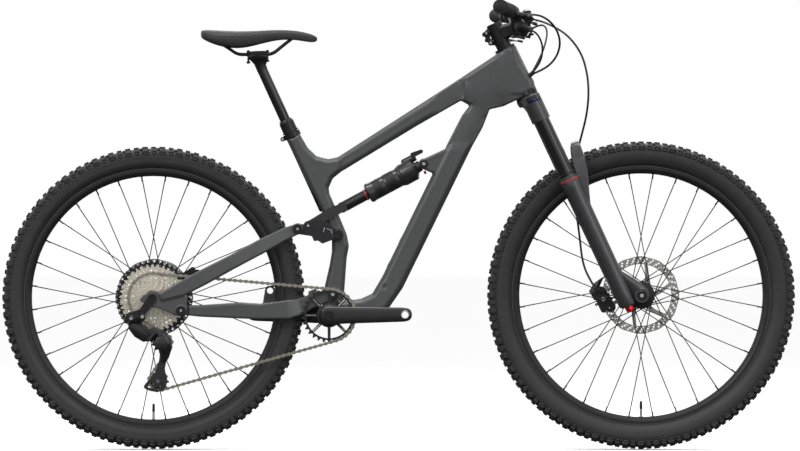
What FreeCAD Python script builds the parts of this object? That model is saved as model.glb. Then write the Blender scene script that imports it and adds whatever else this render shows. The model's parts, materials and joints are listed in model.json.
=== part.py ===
import FreeCAD, Part
import os
from math import acos, asin, atan2, cos, degrees, hypot, pi, radians, sin, tan

# Full-suspension trail mountain bike, written as one STEP file per separate piece.
#
# Row frame, millimetres: +Z up, +X the way the bike rolls, +Y the rider's left. The origin is on
# the ground at the middle of the bike's box. The chain runs on the right, at negative Y.
Vec = FreeCAD.Vector
Y_AXIS = Vec(0, 1, 0)

# ---- driving dimensions -------------------------------------------------------------------
REAR_AXLE = (-566.0, 350.0)
FRONT_AXLE = (560.0, 356.0)
BOTTOM_BRACKET = (-160.0, 310.0)
REAR_TYRE_R = 350.0
FRONT_TYRE_R = 356.0
REAR_TYRE_WIDTH = 61.0
FRONT_TYRE_WIDTH = 65.0
RIM_INNER_R = 281.0
RIM_FLANGE_R = 298.0
RIM_HALF_WIDTH = 16.0
SPOKE_COUNT = 32
SPOKE_R = 1.0

MAIN_PIVOT = (-151.5, 358.7)
HORST_PIVOT = (-500.5, 321.6)
ROCKER_PIVOT = (-140.6, 496.4)
STAY_TIP_PIVOT = (-232.8, 509.4)
YOKE_PIVOT = (-208.5, 516.7)
SHOCK_PIVOT = (58.3, 659.5)

HEAD_ANGLE = 65.0
STEER_FOOT = (520.1, 337.4)
STANCHION_OFFSET = 6.0
STANCHION_Y = 65.0
STANCHION_R = 17.5
STEERER_R = 14.3
HEAD_LOW = 530.0
HEAD_HIGH = 647.0

SEAT_TUBE_TOP = (-244.5, 722.8)
SEAT_DIRECTION = (-0.4157, 0.9095)
DROPPER_R = 12.0
DROPPER_TUBE_R = 15.8

CRANK_LENGTH = 175.0
CHAINRING_TEETH = 30
CHAINRING_Y = -50.0
CHAIN_PITCH = 12.7
COG_TEETH = (11, 13, 15, 17, 19, 21, 24, 28, 32, 37, 42)
COG_SPACING = 3.9
SMALL_COG_Y = -66.0
CHAIN_COG_TEETH = 28
PULLEY_TEETH = 11
GUIDE_PULLEY = (-545.0, 247.0)
TENSION_PULLEY = (-554.0, 158.7)

BAR_CLAMP = (277.0, 976.0)
BAR_R = 15.9
BAR_END_R = 11.1
GRIP_R = 16.2
ROTOR_R = 90.0
RUN_GAP = 0.05


# bottle screws in the down tube
BOTTLE_THREAD_R = 2.5
BOTTLE_LOW = (0.0, 415.0)
BOTTLE_STEP = 64.0
DOWN_TUBE_DIRECTION = (0.4396, 0.8982)

# suspension link and shock
PIVOT_HOLE_R = 7.6
LINK_PIN_R = 4.0
ROCKER_BAR = (-192.0, 486.0)
ROCKER_BAR_R = 5.0
LEVER_AT = (33.0, 680.0)

# derailleur pivots
DERAILLEUR_BOLT = (-589.0, 318.0)
LINK_PIVOT = (-612.0, 300.0)
KNUCKLE_PIVOT = (-566.0, 262.0)
LINK_Y = -76.0

# saddle shell stations and rail route: (x, half width, heights)
RAIL_ROUTE = ((-408, 26, 936), (-392, 25, 926), (-372, 22, 912),
              (-292, 22, 912), (-268, 15, 932), (-246, 10, 949))
SADDLE_SECTIONS = ((-457, 50, 950, 957, 965, 954), (-440, 66, 940, 954, 967, 950),
                   (-405, 70, 930, 950, 968.5, 948), (-368, 58, 926, 950, 968.5, 950),
                   (-320, 36, 938, 955, 968.5, 953), (-260, 23, 943, 958, 968, 954),
                   (-210, 18, 942, 952, 962, 950), (-188, 11, 947, 951, 955, 949.5))

# fork heights along the steering axis
SLEEVE_LOW = 463.0
CROWN_TOP = 522.0
LEG_TOP = 312.0

# brake rotors
ROTOR_FRONT_Y = 41.0
ROTOR_REAR_Y = 59.0
ROTOR_HALF = 0.9

# handlebar, brake levers and shift paddles
BAR_BEND = (277.0, 55.0, 976.0)
BAR_RISE = (268.0, 130.0, 1004.0)
BAR_END = (230.0, 388.0, 1012.0)
LEVER_AXIS = Vec(0.474, 0, 0.8805)
LEVER_PIVOT = (298.0, 232.0, 984.0)
MAIN_PADDLE_PIVOT = (284.0, 158.0, 949.0)
RELEASE_PADDLE_PIVOT = (296.0, 176.0, 951.0)
PADDLE_AXIS = Vec(-0.2, 0, -0.98)

# chain, cogs and cranks
TOOTH_HALF = 0.75
CHAIN_INNER = 1.6
CHAIN_OUTER = 2.7
CHAIN_HALF_HEIGHT = 4.2
PULLEY_Y = SMALL_COG_Y + COG_TEETH.index(CHAIN_COG_TEETH) * COG_SPACING
CRANK_BOSS_R = 21.0
SPINDLE_R = 15.0
PEDAL_END_R = 16.5
PEDAL_THREAD_R = 7.14

# cable routes: points from the lever to the frame or brake
CABLE_R = 2.5
FRONT_HOSE = ((296, 150, 1000), (320, 122, 996), (352, 98, 984), (392, 80, 960),
              (424, 68, 918), (438, 60, 868), (441, 58, 820), (436, 64, 772), (424, 76, 724),
              (411, 89, 676), (404, 95, 628), (407, 94, 580), (415, 90, 532), (421, 84, 484),
              (426, 76, 436), (438, 64, 400), (457, 50, 370))
REAR_HOSE = ((296, -150, 1000), (318, -124, 1002), (345, -96, 990), (366, -66, 966),
             (374, -38, 934), (362, -18, 900), (334, -12, 876), (306, -10, 866))
SHIFT_CABLE = ((292, -140, 966), (306, -122, 966), (322, -100, 954), (332, -74, 930),
               (330, -48, 902), (318, -28, 880), (306, -20, 866))
DROPPER_CABLE = ((292, 140, 966), (318, 120, 980), (338, 94, 984), (346, 66, 966),
                 (338, 38, 930), (322, 18, 894), (306, 6, 866))


# ---- small geometry helpers ---------------------------------------------------------------
def point(xz, y=0.0):
    """A point of the side view, moved sideways to y."""
    return Vec(xz[0], y, xz[1])


def shift(xz, dx, dz):
    """A side-view point moved by dx and dz."""
    return (xz[0] + dx, xz[1] + dz)


def fuse(shapes):
    """One shape from several that touch."""
    return shapes[0].multiFuse(shapes[1:]).removeSplitter() if len(shapes) > 1 else shapes[0]


def cut(base, tools):
    """The base without the tools."""
    return base.cut(tools)


def group(shapes):
    """Several separate solids kept as one node."""
    return Part.makeCompound([solid for shape in shapes for solid in shape.Solids])


def rod(start, end, radius, end_radius=None):
    """A round bar, or a cone when the end radius differs."""
    along = end - start
    if end_radius is None or abs(end_radius - radius) < 1e-6:
        return Part.makeCylinder(radius, along.Length, start, along)
    return Part.makeCone(radius, end_radius, along.Length, start, along)


def pipe(start, end, radius, bore):
    """A round tube with a bore right through."""
    return rod(start, end, radius).cut(rod(start, end, bore))


def disc(centre, y_from, y_to, radius):
    """A disc or shaft across the bike, round a side-view centre."""
    return rod(point(centre, y_from), point(centre, y_to), radius)


def ring(centre, y_from, y_to, radius, bore):
    """A disc across the bike with a round hole."""
    return disc(centre, y_from, y_to, radius).cut(disc(centre, y_from, y_to, bore))


def block(low, high):
    """An upright box between two corners."""
    size = [high[i] - low[i] for i in range(3)]
    return Part.makeBox(size[0], size[1], size[2], Vec(*low))


def outline(points, y):
    """A closed side-view polygon at sideways place y."""
    corners = [point(xz, y) for xz in points]
    return Part.makePolygon(corners + corners[:1])


def slab(points, y_from, y_to):
    """A side-view polygon made solid between two sideways places."""
    return Part.Face(outline(points, y_from)).extrude(Vec(0, y_to - y_from, 0))


def inset(points, distance):
    """A side-view polygon with every side moved inwards."""
    count = len(points)
    area = sum(points[i - 1][0] * points[i][1] - points[i][0] * points[i - 1][1]
               for i in range(count))
    side = distance if area > 0 else -distance
    moved = []
    for i in range(count):
        before = Vec(points[i][0] - points[i - 1][0], points[i][1] - points[i - 1][1], 0)
        after = Vec(points[(i + 1) % count][0] - points[i][0],
                    points[(i + 1) % count][1] - points[i][1], 0)
        before.normalize()
        after.normalize()
        inward = Vec(-before.y - after.y, before.x + after.x, 0)
        reach = side * 2.0 / max(inward.Length ** 2, 1.0)
        moved.append((points[i][0] + inward.x * reach, points[i][1] + inward.y * reach))
    return moved


def faceted(points, y_edge, y_face, bevel, y_middle=0.0):
    """A slab whose long edges are bevelled, as hydroformed frame tubes are."""
    small = inset(points, bevel)
    core = slab(points, y_middle - y_edge, y_middle + y_edge)
    cheeks = []
    for sign in (-1, 1):
        wires = [outline(points, y_middle + sign * y_edge), outline(small, y_middle + sign * y_face)]
        cheeks.append(Part.makeLoft(wires, True, True))
    return fuse([core] + cheeks)


def section(centre, along, half_height, half_width, corner, y=0.0):
    """An eight-sided tube section, square to a direction of the side view."""
    up = Vec(-along[1], 0, along[0])
    up.normalize()
    height = half_height - corner
    width = half_width - corner
    places = [(half_height, width), (height, half_width), (-height, half_width),
              (-half_height, width), (-half_height, -width), (-height, -half_width),
              (height, -half_width), (half_height, -width)]
    corners = [point(centre, y + w) + up * h for h, w in places]
    return Part.makePolygon(corners + corners[:1])


def tube_loft(stations, corner_share=0.38):
    """A tube through stations (x, z, half height, half width, y), ruled between them."""
    wires = []
    last = len(stations) - 1
    for i, (x, z, half_height, half_width, y) in enumerate(stations):
        before = stations[max(i - 1, 0)]
        after = stations[min(i + 1, last)]
        along = (after[0] - before[0], after[1] - before[1])
        corner = corner_share * min(half_height, half_width)
        wires.append(section((x, z), along, half_height, half_width, corner, y))
    return Part.makeLoft(wires, True, True)


def turned(profile, centre, y_middle=0.0):
    """A ring of revolution round an axle, from (radius, sideways) corners."""
    corners = [Vec(centre[0] + r, y_middle + y, centre[1]) for r, y in profile]
    face = Part.Face(Part.makePolygon(corners + corners[:1]))
    return face.revolve(point(centre), Y_AXIS, 360)


def steer(t, n=0.0, y=0.0):
    """A point by its height t up the steering axis and its distance n in front of it."""
    lean = radians(HEAD_ANGLE)
    return Vec(STEER_FOOT[0] - t * cos(lean) + n * sin(lean), y,
               STEER_FOOT[1] + t * sin(lean) + n * cos(lean))


def flat(vector):
    """The side-view coordinates of a point."""
    return (vector.x, vector.z)


def seat(distance, offset=0.0):
    """A side-view point up the seat tube's axis from its top, and in front of the axis."""
    ux, uz = SEAT_DIRECTION
    return (SEAT_TUBE_TOP[0] + distance * ux + offset * uz,
            SEAT_TUBE_TOP[1] + distance * uz - offset * ux)


def between(start, end, share):
    """The side-view point part of the way from one to another."""
    return (start[0] + (end[0] - start[0]) * share, start[1] + (end[1] - start[1]) * share)


def rounded(xz_low, xz_high, radius_low, radius_high, y_from, y_to):
    """A link plate: two round ends joined by straight sides."""
    dx, dz = xz_high[0] - xz_low[0], xz_high[1] - xz_low[1]
    length = hypot(dx, dz)
    side = acos((radius_low - radius_high) / length)
    turn = atan2(dz, dx)
    corners = []
    for centre, radius, sign in ((xz_low, radius_low, 1), (xz_high, radius_high, 1),
                                 (xz_high, radius_high, -1), (xz_low, radius_low, -1)):
        angle = turn + sign * side
        corners.append((centre[0] + radius * cos(angle), centre[1] + radius * sin(angle)))
    return fuse([slab(corners, y_from, y_to), disc(xz_low, y_from, y_to, radius_low),
                 disc(xz_high, y_from, y_to, radius_high)])


def cord(points, radius):
    """A flexible round cord: straight runs joined by tangent arcs as large as they allow."""
    corners = [Vec(*p) for p in points]
    edges = []
    here = corners[0]
    for i in range(1, len(corners) - 1):
        back = corners[i - 1] - corners[i]
        ahead = corners[i + 1] - corners[i]
        trim = 0.45 * min(back.Length, ahead.Length)
        back.normalize()
        ahead.normalize()
        start = corners[i] + back * trim
        end = corners[i] + ahead * trim
        half_turn = (pi - back.getAngle(ahead)) / 2
        bend_radius = trim / tan(half_turn)
        chord = (back + ahead).normalize()
        middle = corners[i] + chord * (bend_radius / cos(half_turn) - bend_radius)
        edges += [Part.LineSegment(here, start).toShape(), Part.Arc(start, middle, end).toShape()]
        print("cord bend radius %.1f mm" % bend_radius)
        here = end
    edges.append(Part.LineSegment(here, corners[-1]).toShape())
    path = Part.Wire(edges)
    first = corners[1] - corners[0]
    profile = Part.Wire(Part.makeCircle(radius, corners[0], first))
    swept = path.makePipeShell([profile], True, False)
    print("cord volume ratio %.4f" % (swept.Volume / (pi * radius ** 2 * path.Length)))
    return swept


def hex_bolt_head(centre, y_face, sign, radius, height):
    """A round bolt head with a hexagon socket, standing out of a face."""
    head = disc(centre, y_face, y_face + sign * height, radius)
    key = radius * 0.5
    corners = [(centre[0] + key * cos(radians(60 * k)), centre[1] + key * sin(radians(60 * k)))
               for k in range(6)]
    return head.cut(slab(corners, y_face + sign * height * 0.4, y_face + sign * (height + 1)))


NODES = {}


def add(name, shape):
    """Keep a finished piece under its node's name."""
    NODES[name] = shape


# ---- main frame ---------------------------------------------------------------------------
def make_frame():
    """Front triangle with its head tube, bottom bracket shell, shock mount and pivot bosses."""
    seat_tube = [(-260.7, 718.4), (-178.5, 548.9), (-154.2, 483.3), (-154.2, 456.7),
                 (-159.5, 425), (-169.9, 379.8), (-177, 340), (-128, 330), (-124.9, 371.9),
                 (-119.6, 443.5), (-114.5, 469.9), (-119.6, 496.6), (-138.3, 541.5),
                 (-159.8, 591.1), (-161.2, 604.5), (-151.9, 625.8), (-130.7, 642.9),
                 (-124, 684), (-141.3, 674.8), (-162.5, 670.8), (-189.1, 677.3),
                 (-210.1, 697.2), (-230.2, 731.8)]
    top_tube = tube_loft([(-165, 641, 15, 15, 0), (-134, 659.5, 16.3, 17.5, 0),
                          (30, 762, 18.9, 19, 0), (144.7, 831.7, 22.4, 21, 0),
                          (244, 893, 26, 24, 0)])
    down_tube = tube_loft([(-138, 318, 22, 33, 0), (-80, 324, 25, 32, 0),
                           (-43, 341, 26, 30, 0), (-14, 386, 27, 28, 0),
                           (19.7, 454.9, 27.2, 27, 0), (145.4, 711.2, 26.9, 27, 0),
                           (170, 757, 27.6, 27, 0), (198, 803.5, 22, 27, 0),
                           (290, 838, 34, 25, 0)])
    head = [(144.7, 805.3), (159.5, 796.5), (172, 790), (230, 812), (285, 812), (309, 823),
            (317, 831.4), (311.7, 852.4), (301.1, 868.3), (285.1, 892.4), (274.5, 918.7),
            (265.3, 932.1), (232, 917), (226.7, 910.8), (148, 860)]
    shock_mount = [(124, 709), (112.3, 696.2), (62.2, 672.7), (51, 667.5), (46, 659.5),
                   (50, 650.5), (58.3, 646.6), (80, 637.3), (100, 630)]
    shell = disc(BOTTOM_BRACKET, -36.5, 36.5, 24)
    pivot_boss = rounded(BOTTOM_BRACKET, MAIN_PIVOT, 24, 13, -22, 22)
    rocker_boss = disc(ROCKER_PIVOT, -29, 29, 11)
    body = fuse([top_tube, down_tube, faceted(seat_tube, 10, 20.5, 8),
                 faceted(head, 16, 28, 9), slab(shock_mount, -24, 24),
                 shell, pivot_boss, rocker_boss,
                 rod(steer(HEAD_LOW), steer(HEAD_HIGH), 27, 25)])
    bore = rod(point(seat(60)), point(seat(-186)), DROPPER_TUBE_R)
    collar_room = block((-330, -60, 733), (-200, 60, 800))
    shock_room = rod(point(SHOCK_PIVOT, 0) - Vec(26.5 * 0.8817, 0, 26.5 * 0.4719),
                     point(SHOCK_PIVOT, 0) + Vec(22 * 0.8817, 0, 22 * 0.4719), 14.5)
    shock_slot = slab([shock_point(30, -15), shock_point(-13, -13), shock_point(-13, 13),
                       shock_point(30, 16)], -14.5, 14.5)
    body = cut(body, [bore, collar_room, shock_room, shock_slot,
                      disc(SHOCK_PIVOT, -40, 40, 6), disc(MAIN_PIVOT, -60, 60, 7),
                      disc(ROCKER_PIVOT, -60, 60, 6), disc(BOTTOM_BRACKET, -60, 60, 21),
                      rod(steer(HEAD_LOW - 20), steer(HEAD_HIGH + 20), 18),
                      rod(steer(HEAD_LOW - 30), steer(HEAD_LOW + 12), 25),
                      rod(steer(HEAD_HIGH - 12), steer(HEAD_HIGH + 30), 21.5)])
    below = steer(HEAD_LOW - 20)
    above = steer(HEAD_HIGH + 20)
    lean = above - below
    body = cut(body, [rod(below, steer(HEAD_LOW), 60),
                      Part.makeCylinder(60, 20, steer(HEAD_HIGH), lean)])
    bosses = [rod(bottle_point(k, 22), bottle_point(k, 28), 6.5) for k in (0, 1)]
    holes = [rod(bottle_point(k, 8), bottle_point(k, 30), BOTTLE_THREAD_R) for k in (0, 1)]
    port_low = Vec(-35, -33, 375)
    body = cut(fuse([body] + bosses), holes)
    body = cut(body, [rod(port_low, port_low + Vec(0, 6, 0), 7)])
    add("main_frame", max(body.Solids, key=lambda solid: solid.Volume))
    make_frame_small_parts()


def bottle_point(k, height):
    """A point on the axis of bottle screw k, by its height over the down tube's middle line."""
    ux, uz = DOWN_TUBE_DIRECTION
    x = BOTTLE_LOW[0] + BOTTLE_STEP * k * ux - height * uz
    z = BOTTLE_LOW[1] + BOTTLE_STEP * k * uz + height * ux
    return Vec(x, 0, z)


def make_frame_small_parts():
    """Seat clamp, dropper lower tube, headset cups, bottom bracket cups and frame bolts."""
    clamp = pipe(point(seat(-2)), point(seat(9.5)), 20.3, 16.6)
    ear = rod(point(seat(3.5, -24), -9), point(seat(3.5, -24), 9), 5)
    web = slab([seat(-1, -17.5), seat(8, -17.5), seat(8, -25), seat(-1, -25)], -8, 8)
    clamp = fuse([clamp, web, ear]).cut(rod(point(seat(-30)), point(seat(30)), 16.6))
    frame_top = NODES["main_frame"]
    add("seat_clamp", clamp.cut(frame_top))
    lower = rod(point(seat(-185)), point(seat(14)), DROPPER_TUBE_R - 0.01)
    collar = fuse([rod(point(seat(11)), point(seat(14)), 19.2),
                   rod(point(seat(14)), point(seat(36)), 17.2),
                   rod(point(seat(36)), point(seat(42)), 16.4, 14.4)])
    sleeve = fuse([lower, collar]).cut(rod(point(seat(-183)), point(seat(60)), DROPPER_R + RUN_GAP))
    add("dropper_lower_tube", sleeve)
    low_cup = pipe(steer(HEAD_LOW - 4), steer(HEAD_LOW + 12), 25, 20.05)
    high_cup = pipe(steer(HEAD_HIGH - 12), steer(HEAD_HIGH + 5), 21.5, STEERER_R + RUN_GAP)
    high_lid = pipe(steer(HEAD_HIGH), steer(HEAD_HIGH + 5), 24, 21.5)
    low_lid = pipe(steer(HEAD_LOW - 4), steer(HEAD_LOW), 27, 25)
    add("headset_cups", group([fuse([low_cup, low_lid]), fuse([high_cup, high_lid])]))
    cups = []
    for sign in (-1, 1):
        cup = fuse([ring(BOTTOM_BRACKET, sign * 20, sign * 36.5, 21, 15 + RUN_GAP),
                    ring(BOTTOM_BRACKET, sign * 36.5, sign * 39.5, 22.5, 15 + RUN_GAP)])
        cups.append(cup)
    add("bottom_bracket_cups", group(cups))
    shock_bolt = disc(SHOCK_PIVOT, -24, 24, 6)
    pins = [fuse([shock_bolt] + [hex_bolt_head(SHOCK_PIVOT, s * 24, s, 8, 3) for s in (-1, 1)]),
            fuse([disc(MAIN_PIVOT, -43, 43, 7)]),
            fuse([disc(ROCKER_PIVOT, -38.5, 38.5, 6)]
                 + [hex_bolt_head(ROCKER_PIVOT, s * 38.5, s, 9.5, 3) for s in (-1, 1)])]
    main_heads = [hex_bolt_head(MAIN_PIVOT, s * 43, s, 9, 1.6) for s in (-1, 1)]
    pins[1] = fuse([pins[1]] + main_heads)
    add("frame_pivot_bolts", group(pins))


# ---- rear suspension ----------------------------------------------------------------------
def make_chainstays():
    """Two stays joined by a yoke behind the seat tube, on the main pivot and the Horst pivots."""
    sides = []
    for sign in (-1, 1):
        stay = tube_loft([(-196, 345, 15, 4, sign * 40), (-226, 330, 19, 4.5, sign * 40.5),
                          (-256, 323, 22, 6, sign * 50), (-320, 318.5, 17.5, 6, sign * 60),
                          (-366, 321, 18, 6, sign * 66), (-457, 320, 12.8, 6, sign * 76),
                          (-482, 321, 11, 5, sign * 79)])
        knuckle = ring(HORST_PIVOT, sign * 73.5, sign * 79, 12.5, 6 + RUN_GAP)
        neck = slab([(-500, 333.5), (-476, 332), (-476, 310), (-500, 309.5)],
                    sign * 74.5, sign * 79.3)
        neck = neck.cut(disc(HORST_PIVOT, sign * 60, sign * 90, 6 + RUN_GAP))
        arm = rounded((-196, 345), MAIN_PIVOT, 17, 13.5, sign * 36, sign * 43)
        sides += [stay, knuckle, neck, arm]
    bridge = slab([(-208, 365), (-208, 335), (-192, 330), (-190, 372)], -44, 44)
    body = fuse(sides + [bridge])
    body = cut(body, [disc(MAIN_PIVOT, -60, 60, 7 + RUN_GAP), disc(MAIN_PIVOT, -35.9, 35.9, 16),
                      disc(HORST_PIVOT, -90, -60, 6 + RUN_GAP),
                      disc(HORST_PIVOT, 60, 90, 6 + RUN_GAP)])
    tab = ring((-298, 366), 57, 61, 12, 7)
    foot = slab([(-310, 366), (-286, 366), (-280, 330), (-316, 330)], 57, 61).cut(
        disc((-298, 366), 50, 70, 7))
    add("chainstays", fuse([body, tab, foot]))


def make_seatstays():
    """Two seatstays with their dropouts, the rear axle, the hanger and the rear caliper."""
    sides = []
    for sign in (-1, 1):
        stay = tube_loft([(-232.8, 509.4, 12, 2.4, sign * 42), (-259, 499, 14, 4, sign * 46),
                          (-316.5, 469, 16.3, 6, sign * 60), (-384, 433, 16.1, 7, sign * 74),
                          (-452, 397, 17.6, 6, sign * 83), (-500, 371, 16.5, 5, sign * 86),
                          (-548, 352, 9, 4.5, sign * 86.5)])
        tip = disc(STAY_TIP_PIVOT, sign * 39.6, sign * 44.4, 13)
        plate = [(-596, 346), (-588, 356), (-567, 366), (-516, 366), (-486, 352), (-487, 318),
                 (-500.5, 308.6), (-515, 312), (-552, 328), (-577, 332)]
        dropout = slab(plate, sign * 80, sign * 88)
        dropout = dropout.cut(disc(REAR_AXLE, sign * 70, sign * 90, 6))
        horst_pin = disc(HORST_PIVOT, sign * 72, sign * 86, 6)
        axle_boss = ring(REAR_AXLE, sign * 74.2, sign * 80, 12, 6)
        cap = hex_bolt_head(HORST_PIVOT, sign * 88, sign, 10, 2)
        side = fuse([stay, tip, dropout, axle_boss, horst_pin, cap])
        side = cut(side, [disc(REAR_AXLE, sign * 60, sign * 95, 6),
                          disc(STAY_TIP_PIVOT, sign * 30, sign * 60, PIVOT_HOLE_R),
                          block((-600, min(sign * 60, sign * 79.5), 300),
                                (-486, max(sign * 60, sign * 79.5), 470)).cut(
                              disc(HORST_PIVOT, -100, 100, 6)).cut(
                              disc(REAR_AXLE, -100, 100, 12))])
        sides.append(max(side.Solids, key=lambda solid: solid.Volume))
    add("seatstays", group(sides))
    add("rear_axle", fuse([disc(REAR_AXLE, -89, 90, 6), disc(REAR_AXLE, 88, 91, 8.5)]))
    hanger = rounded(REAR_AXLE, DERAILLEUR_BOLT, 10, 8.6, -92.4, -88).cut(
        disc(REAR_AXLE, -95, -85, 6.01))
    link = rounded(DERAILLEUR_BOLT, (-619.0, 306.5), 8, 9, -98, -92)
    add("derailleur_hanger", fuse([hanger, link, hex_bolt_head(DERAILLEUR_BOLT, -98, -1, 7, 2)]))
    caliper_at = (-487, 389)
    body = rounded(shift(caliper_at, -22, -14), shift(caliper_at, 20, 14), 12, 12, 51, 57.2)
    outer = rounded(shift(caliper_at, -22, -14), shift(caliper_at, 20, 14), 12, 12, 60.8, 76)
    top = rounded(shift(caliper_at, -24, 2), shift(caliper_at, 10, 26), 6, 6, 51, 76)
    top = top.cut(disc(REAR_AXLE, 57.2, 60.8, ROTOR_R + 1.5))
    add("rear_caliper", fuse([body, outer, top]))


def make_rocker():
    """The rocker link: two plates joined by a cross bar in front of the tyre."""
    plates = []
    for sign in (-1, 1):
        outer = rounded(STAY_TIP_PIVOT, ROCKER_PIVOT, 12, 13, sign * 31, sign * 36.6)
        lobe = slab([(-206, 512), (-202, 497), (-197, 485), (-184, 481), (-176, 475),
                     (-152, 484), (-142, 500), (-170, 520)], sign * 31, sign * 36.6)
        pin = disc(STAY_TIP_PIVOT, sign * 36.6, sign * 49, LINK_PIN_R)
        head = hex_bolt_head(STAY_TIP_PIVOT, sign * 48, sign, 9.6, 2.6)
        yoke_pin = disc(YOKE_PIVOT, sign * 22.5, sign * 32, LINK_PIN_R)
        plate = fuse([outer, lobe, pin, head, yoke_pin])
        plates.append(plate)
    bar = disc(ROCKER_BAR, -32, 32, ROCKER_BAR_R)
    body = fuse(plates + [bar])
    add("rocker_link", body.cut(disc(ROCKER_PIVOT, -60, 60, 6 + RUN_GAP)))


def shock_point(distance, across=0.0):
    """A side-view point down the shock's axis from its frame bolt, and square to it."""
    dx, dz = YOKE_PIVOT[0] - SHOCK_PIVOT[0], YOKE_PIVOT[1] - SHOCK_PIVOT[1]
    length = hypot(dx, dz)
    ux, uz = dx / length, dz / length
    return (SHOCK_PIVOT[0] + distance * ux + across * uz,
            SHOCK_PIVOT[1] + distance * uz - across * ux)


def shock_rod(start, end, radius, end_radius=None):
    """A round piece along the shock's axis."""
    return rod(point(shock_point(start)), point(shock_point(end)), radius, end_radius)


def make_shock():
    """Air shock: can with its eye, shaft with the yoke bolted to it, and the lockout lever."""
    eye = disc(SHOCK_PIVOT, -13.8, 13.8, 11.5).cut(disc(SHOCK_PIVOT, -20, 20, 6 + RUN_GAP))
    can = fuse([shock_rod(9.5, 18, 12.5), shock_rod(18, 24, 14, 26), shock_rod(24, 58, 26),
                shock_rod(58, 68, 26, 22),
                shock_rod(68, 140, 22), shock_rod(140, 147, 22, 17)])
    can = fuse([can.cut(disc(SHOCK_PIVOT, -20, 20, 11)), eye])
    piggyback = fuse([rod(point(shock_point(10, 25)), point(shock_point(42, 22)), 9)])
    can = cut(fuse([can, piggyback]), [shock_rod(84, 150, 12.55),
                                       rod(point(LEVER_AT, -20), point(LEVER_AT, 30), 3 + RUN_GAP),
                                       disc(SHOCK_PIVOT, -20, 20, 6 + RUN_GAP)])
    add("shock_can", can)
    shaft = fuse([shock_rod(139, 205, 12.5), shock_rod(205, 220, 12.5, 11)])
    arms = []
    for sign in (-1, 1):
        arm = slab([shock_point(206, -9), shock_point(206, 9), shock_point(240, 13),
                    shock_point(285, 10), shock_point(300, 10), shock_point(300, -9),
                    shock_point(285, -9), shock_point(240, -11)],
                   sign * 22.5, sign * 29)
        eye = disc(YOKE_PIVOT, sign * 22.5, sign * 29, 11)
        arms.append(fuse([arm, eye]).cut(disc(YOKE_PIVOT, sign * 20, sign * 32, PIVOT_HOLE_R)))
    bridge = slab([shock_point(204, -11), shock_point(204, 11), shock_point(217, 13),
                   shock_point(217, -13)], -29, 29)
    add("shock_shaft", fuse([shaft, bridge] + arms))
    lever = rounded(LEVER_AT, shift(LEVER_AT, 19, 8), 6, 4.5, -14, -10)
    pin = disc(LEVER_AT, -10.1, 9.5, 3)
    add("shock_lever", fuse([lever, pin]))


# ---- dropper post and saddle --------------------------------------------------------------


def bent_rail(sign):
    """One saddle rail: a bent round bar."""
    return cord([(x, sign * y, z) for x, y, z in RAIL_ROUTE], 3.5)


def make_saddle():
    """Dropper stanchion with its clamp head, the saddle rails and the saddle."""
    stanchion = rod(point(seat(-60)), point(seat(186)), DROPPER_R)
    cradle = slab([(-352, 893), (-306, 888), (-300, 896), (-300, 908), (-350, 908)], -27, 27)
    clamp = slab([(-348, 914), (-302, 914), (-304, 921), (-346, 921)], -27, 27)
    bolts = [rod(Vec(x, 0, 886), Vec(x, 0, 924), 3.2) for x in (-346, -306)]
    middle = slab([(-340, 906), (-312, 906), (-312, 916), (-340, 916)], -15, 15)
    head = fuse([stanchion, cradle, clamp, middle] + bolts)
    rails = [bent_rail(sign) for sign in (-1, 1)]
    add("dropper_post", head.cut(rails))
    wires = []
    for x, half, skirt, side, top, under in SADDLE_SECTIONS:
        corners = [(-half, skirt), (-half, side), (-half * 0.62, top), (half * 0.62, top),
                   (half, side), (half, skirt), (half * 0.8, under), (-half * 0.8, under)]
        places = [Vec(x, y, z) for y, z in corners]
        wires.append(Part.makePolygon(places + places[:1]))
    saddle = Part.makeLoft(wires, True, True)
    add("saddle", saddle.cut(rails))
    add("saddle_rails", group(rails))


# ---- fork -------------------------------------------------------------------------------------


def leg(t_from, t_to, radius, sign, end_radius=None):
    """A round piece along one fork leg."""
    return rod(steer(t_from, STANCHION_OFFSET, sign * STANCHION_Y),
               steer(t_to, STANCHION_OFFSET, sign * STANCHION_Y), radius, end_radius)


def fork_slab(corners, y_from, y_to):
    """A polygon of (height up the steering axis, distance in front) made solid across."""
    return slab([flat(steer(t, n)) for t, n in corners], y_from, y_to)


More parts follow.
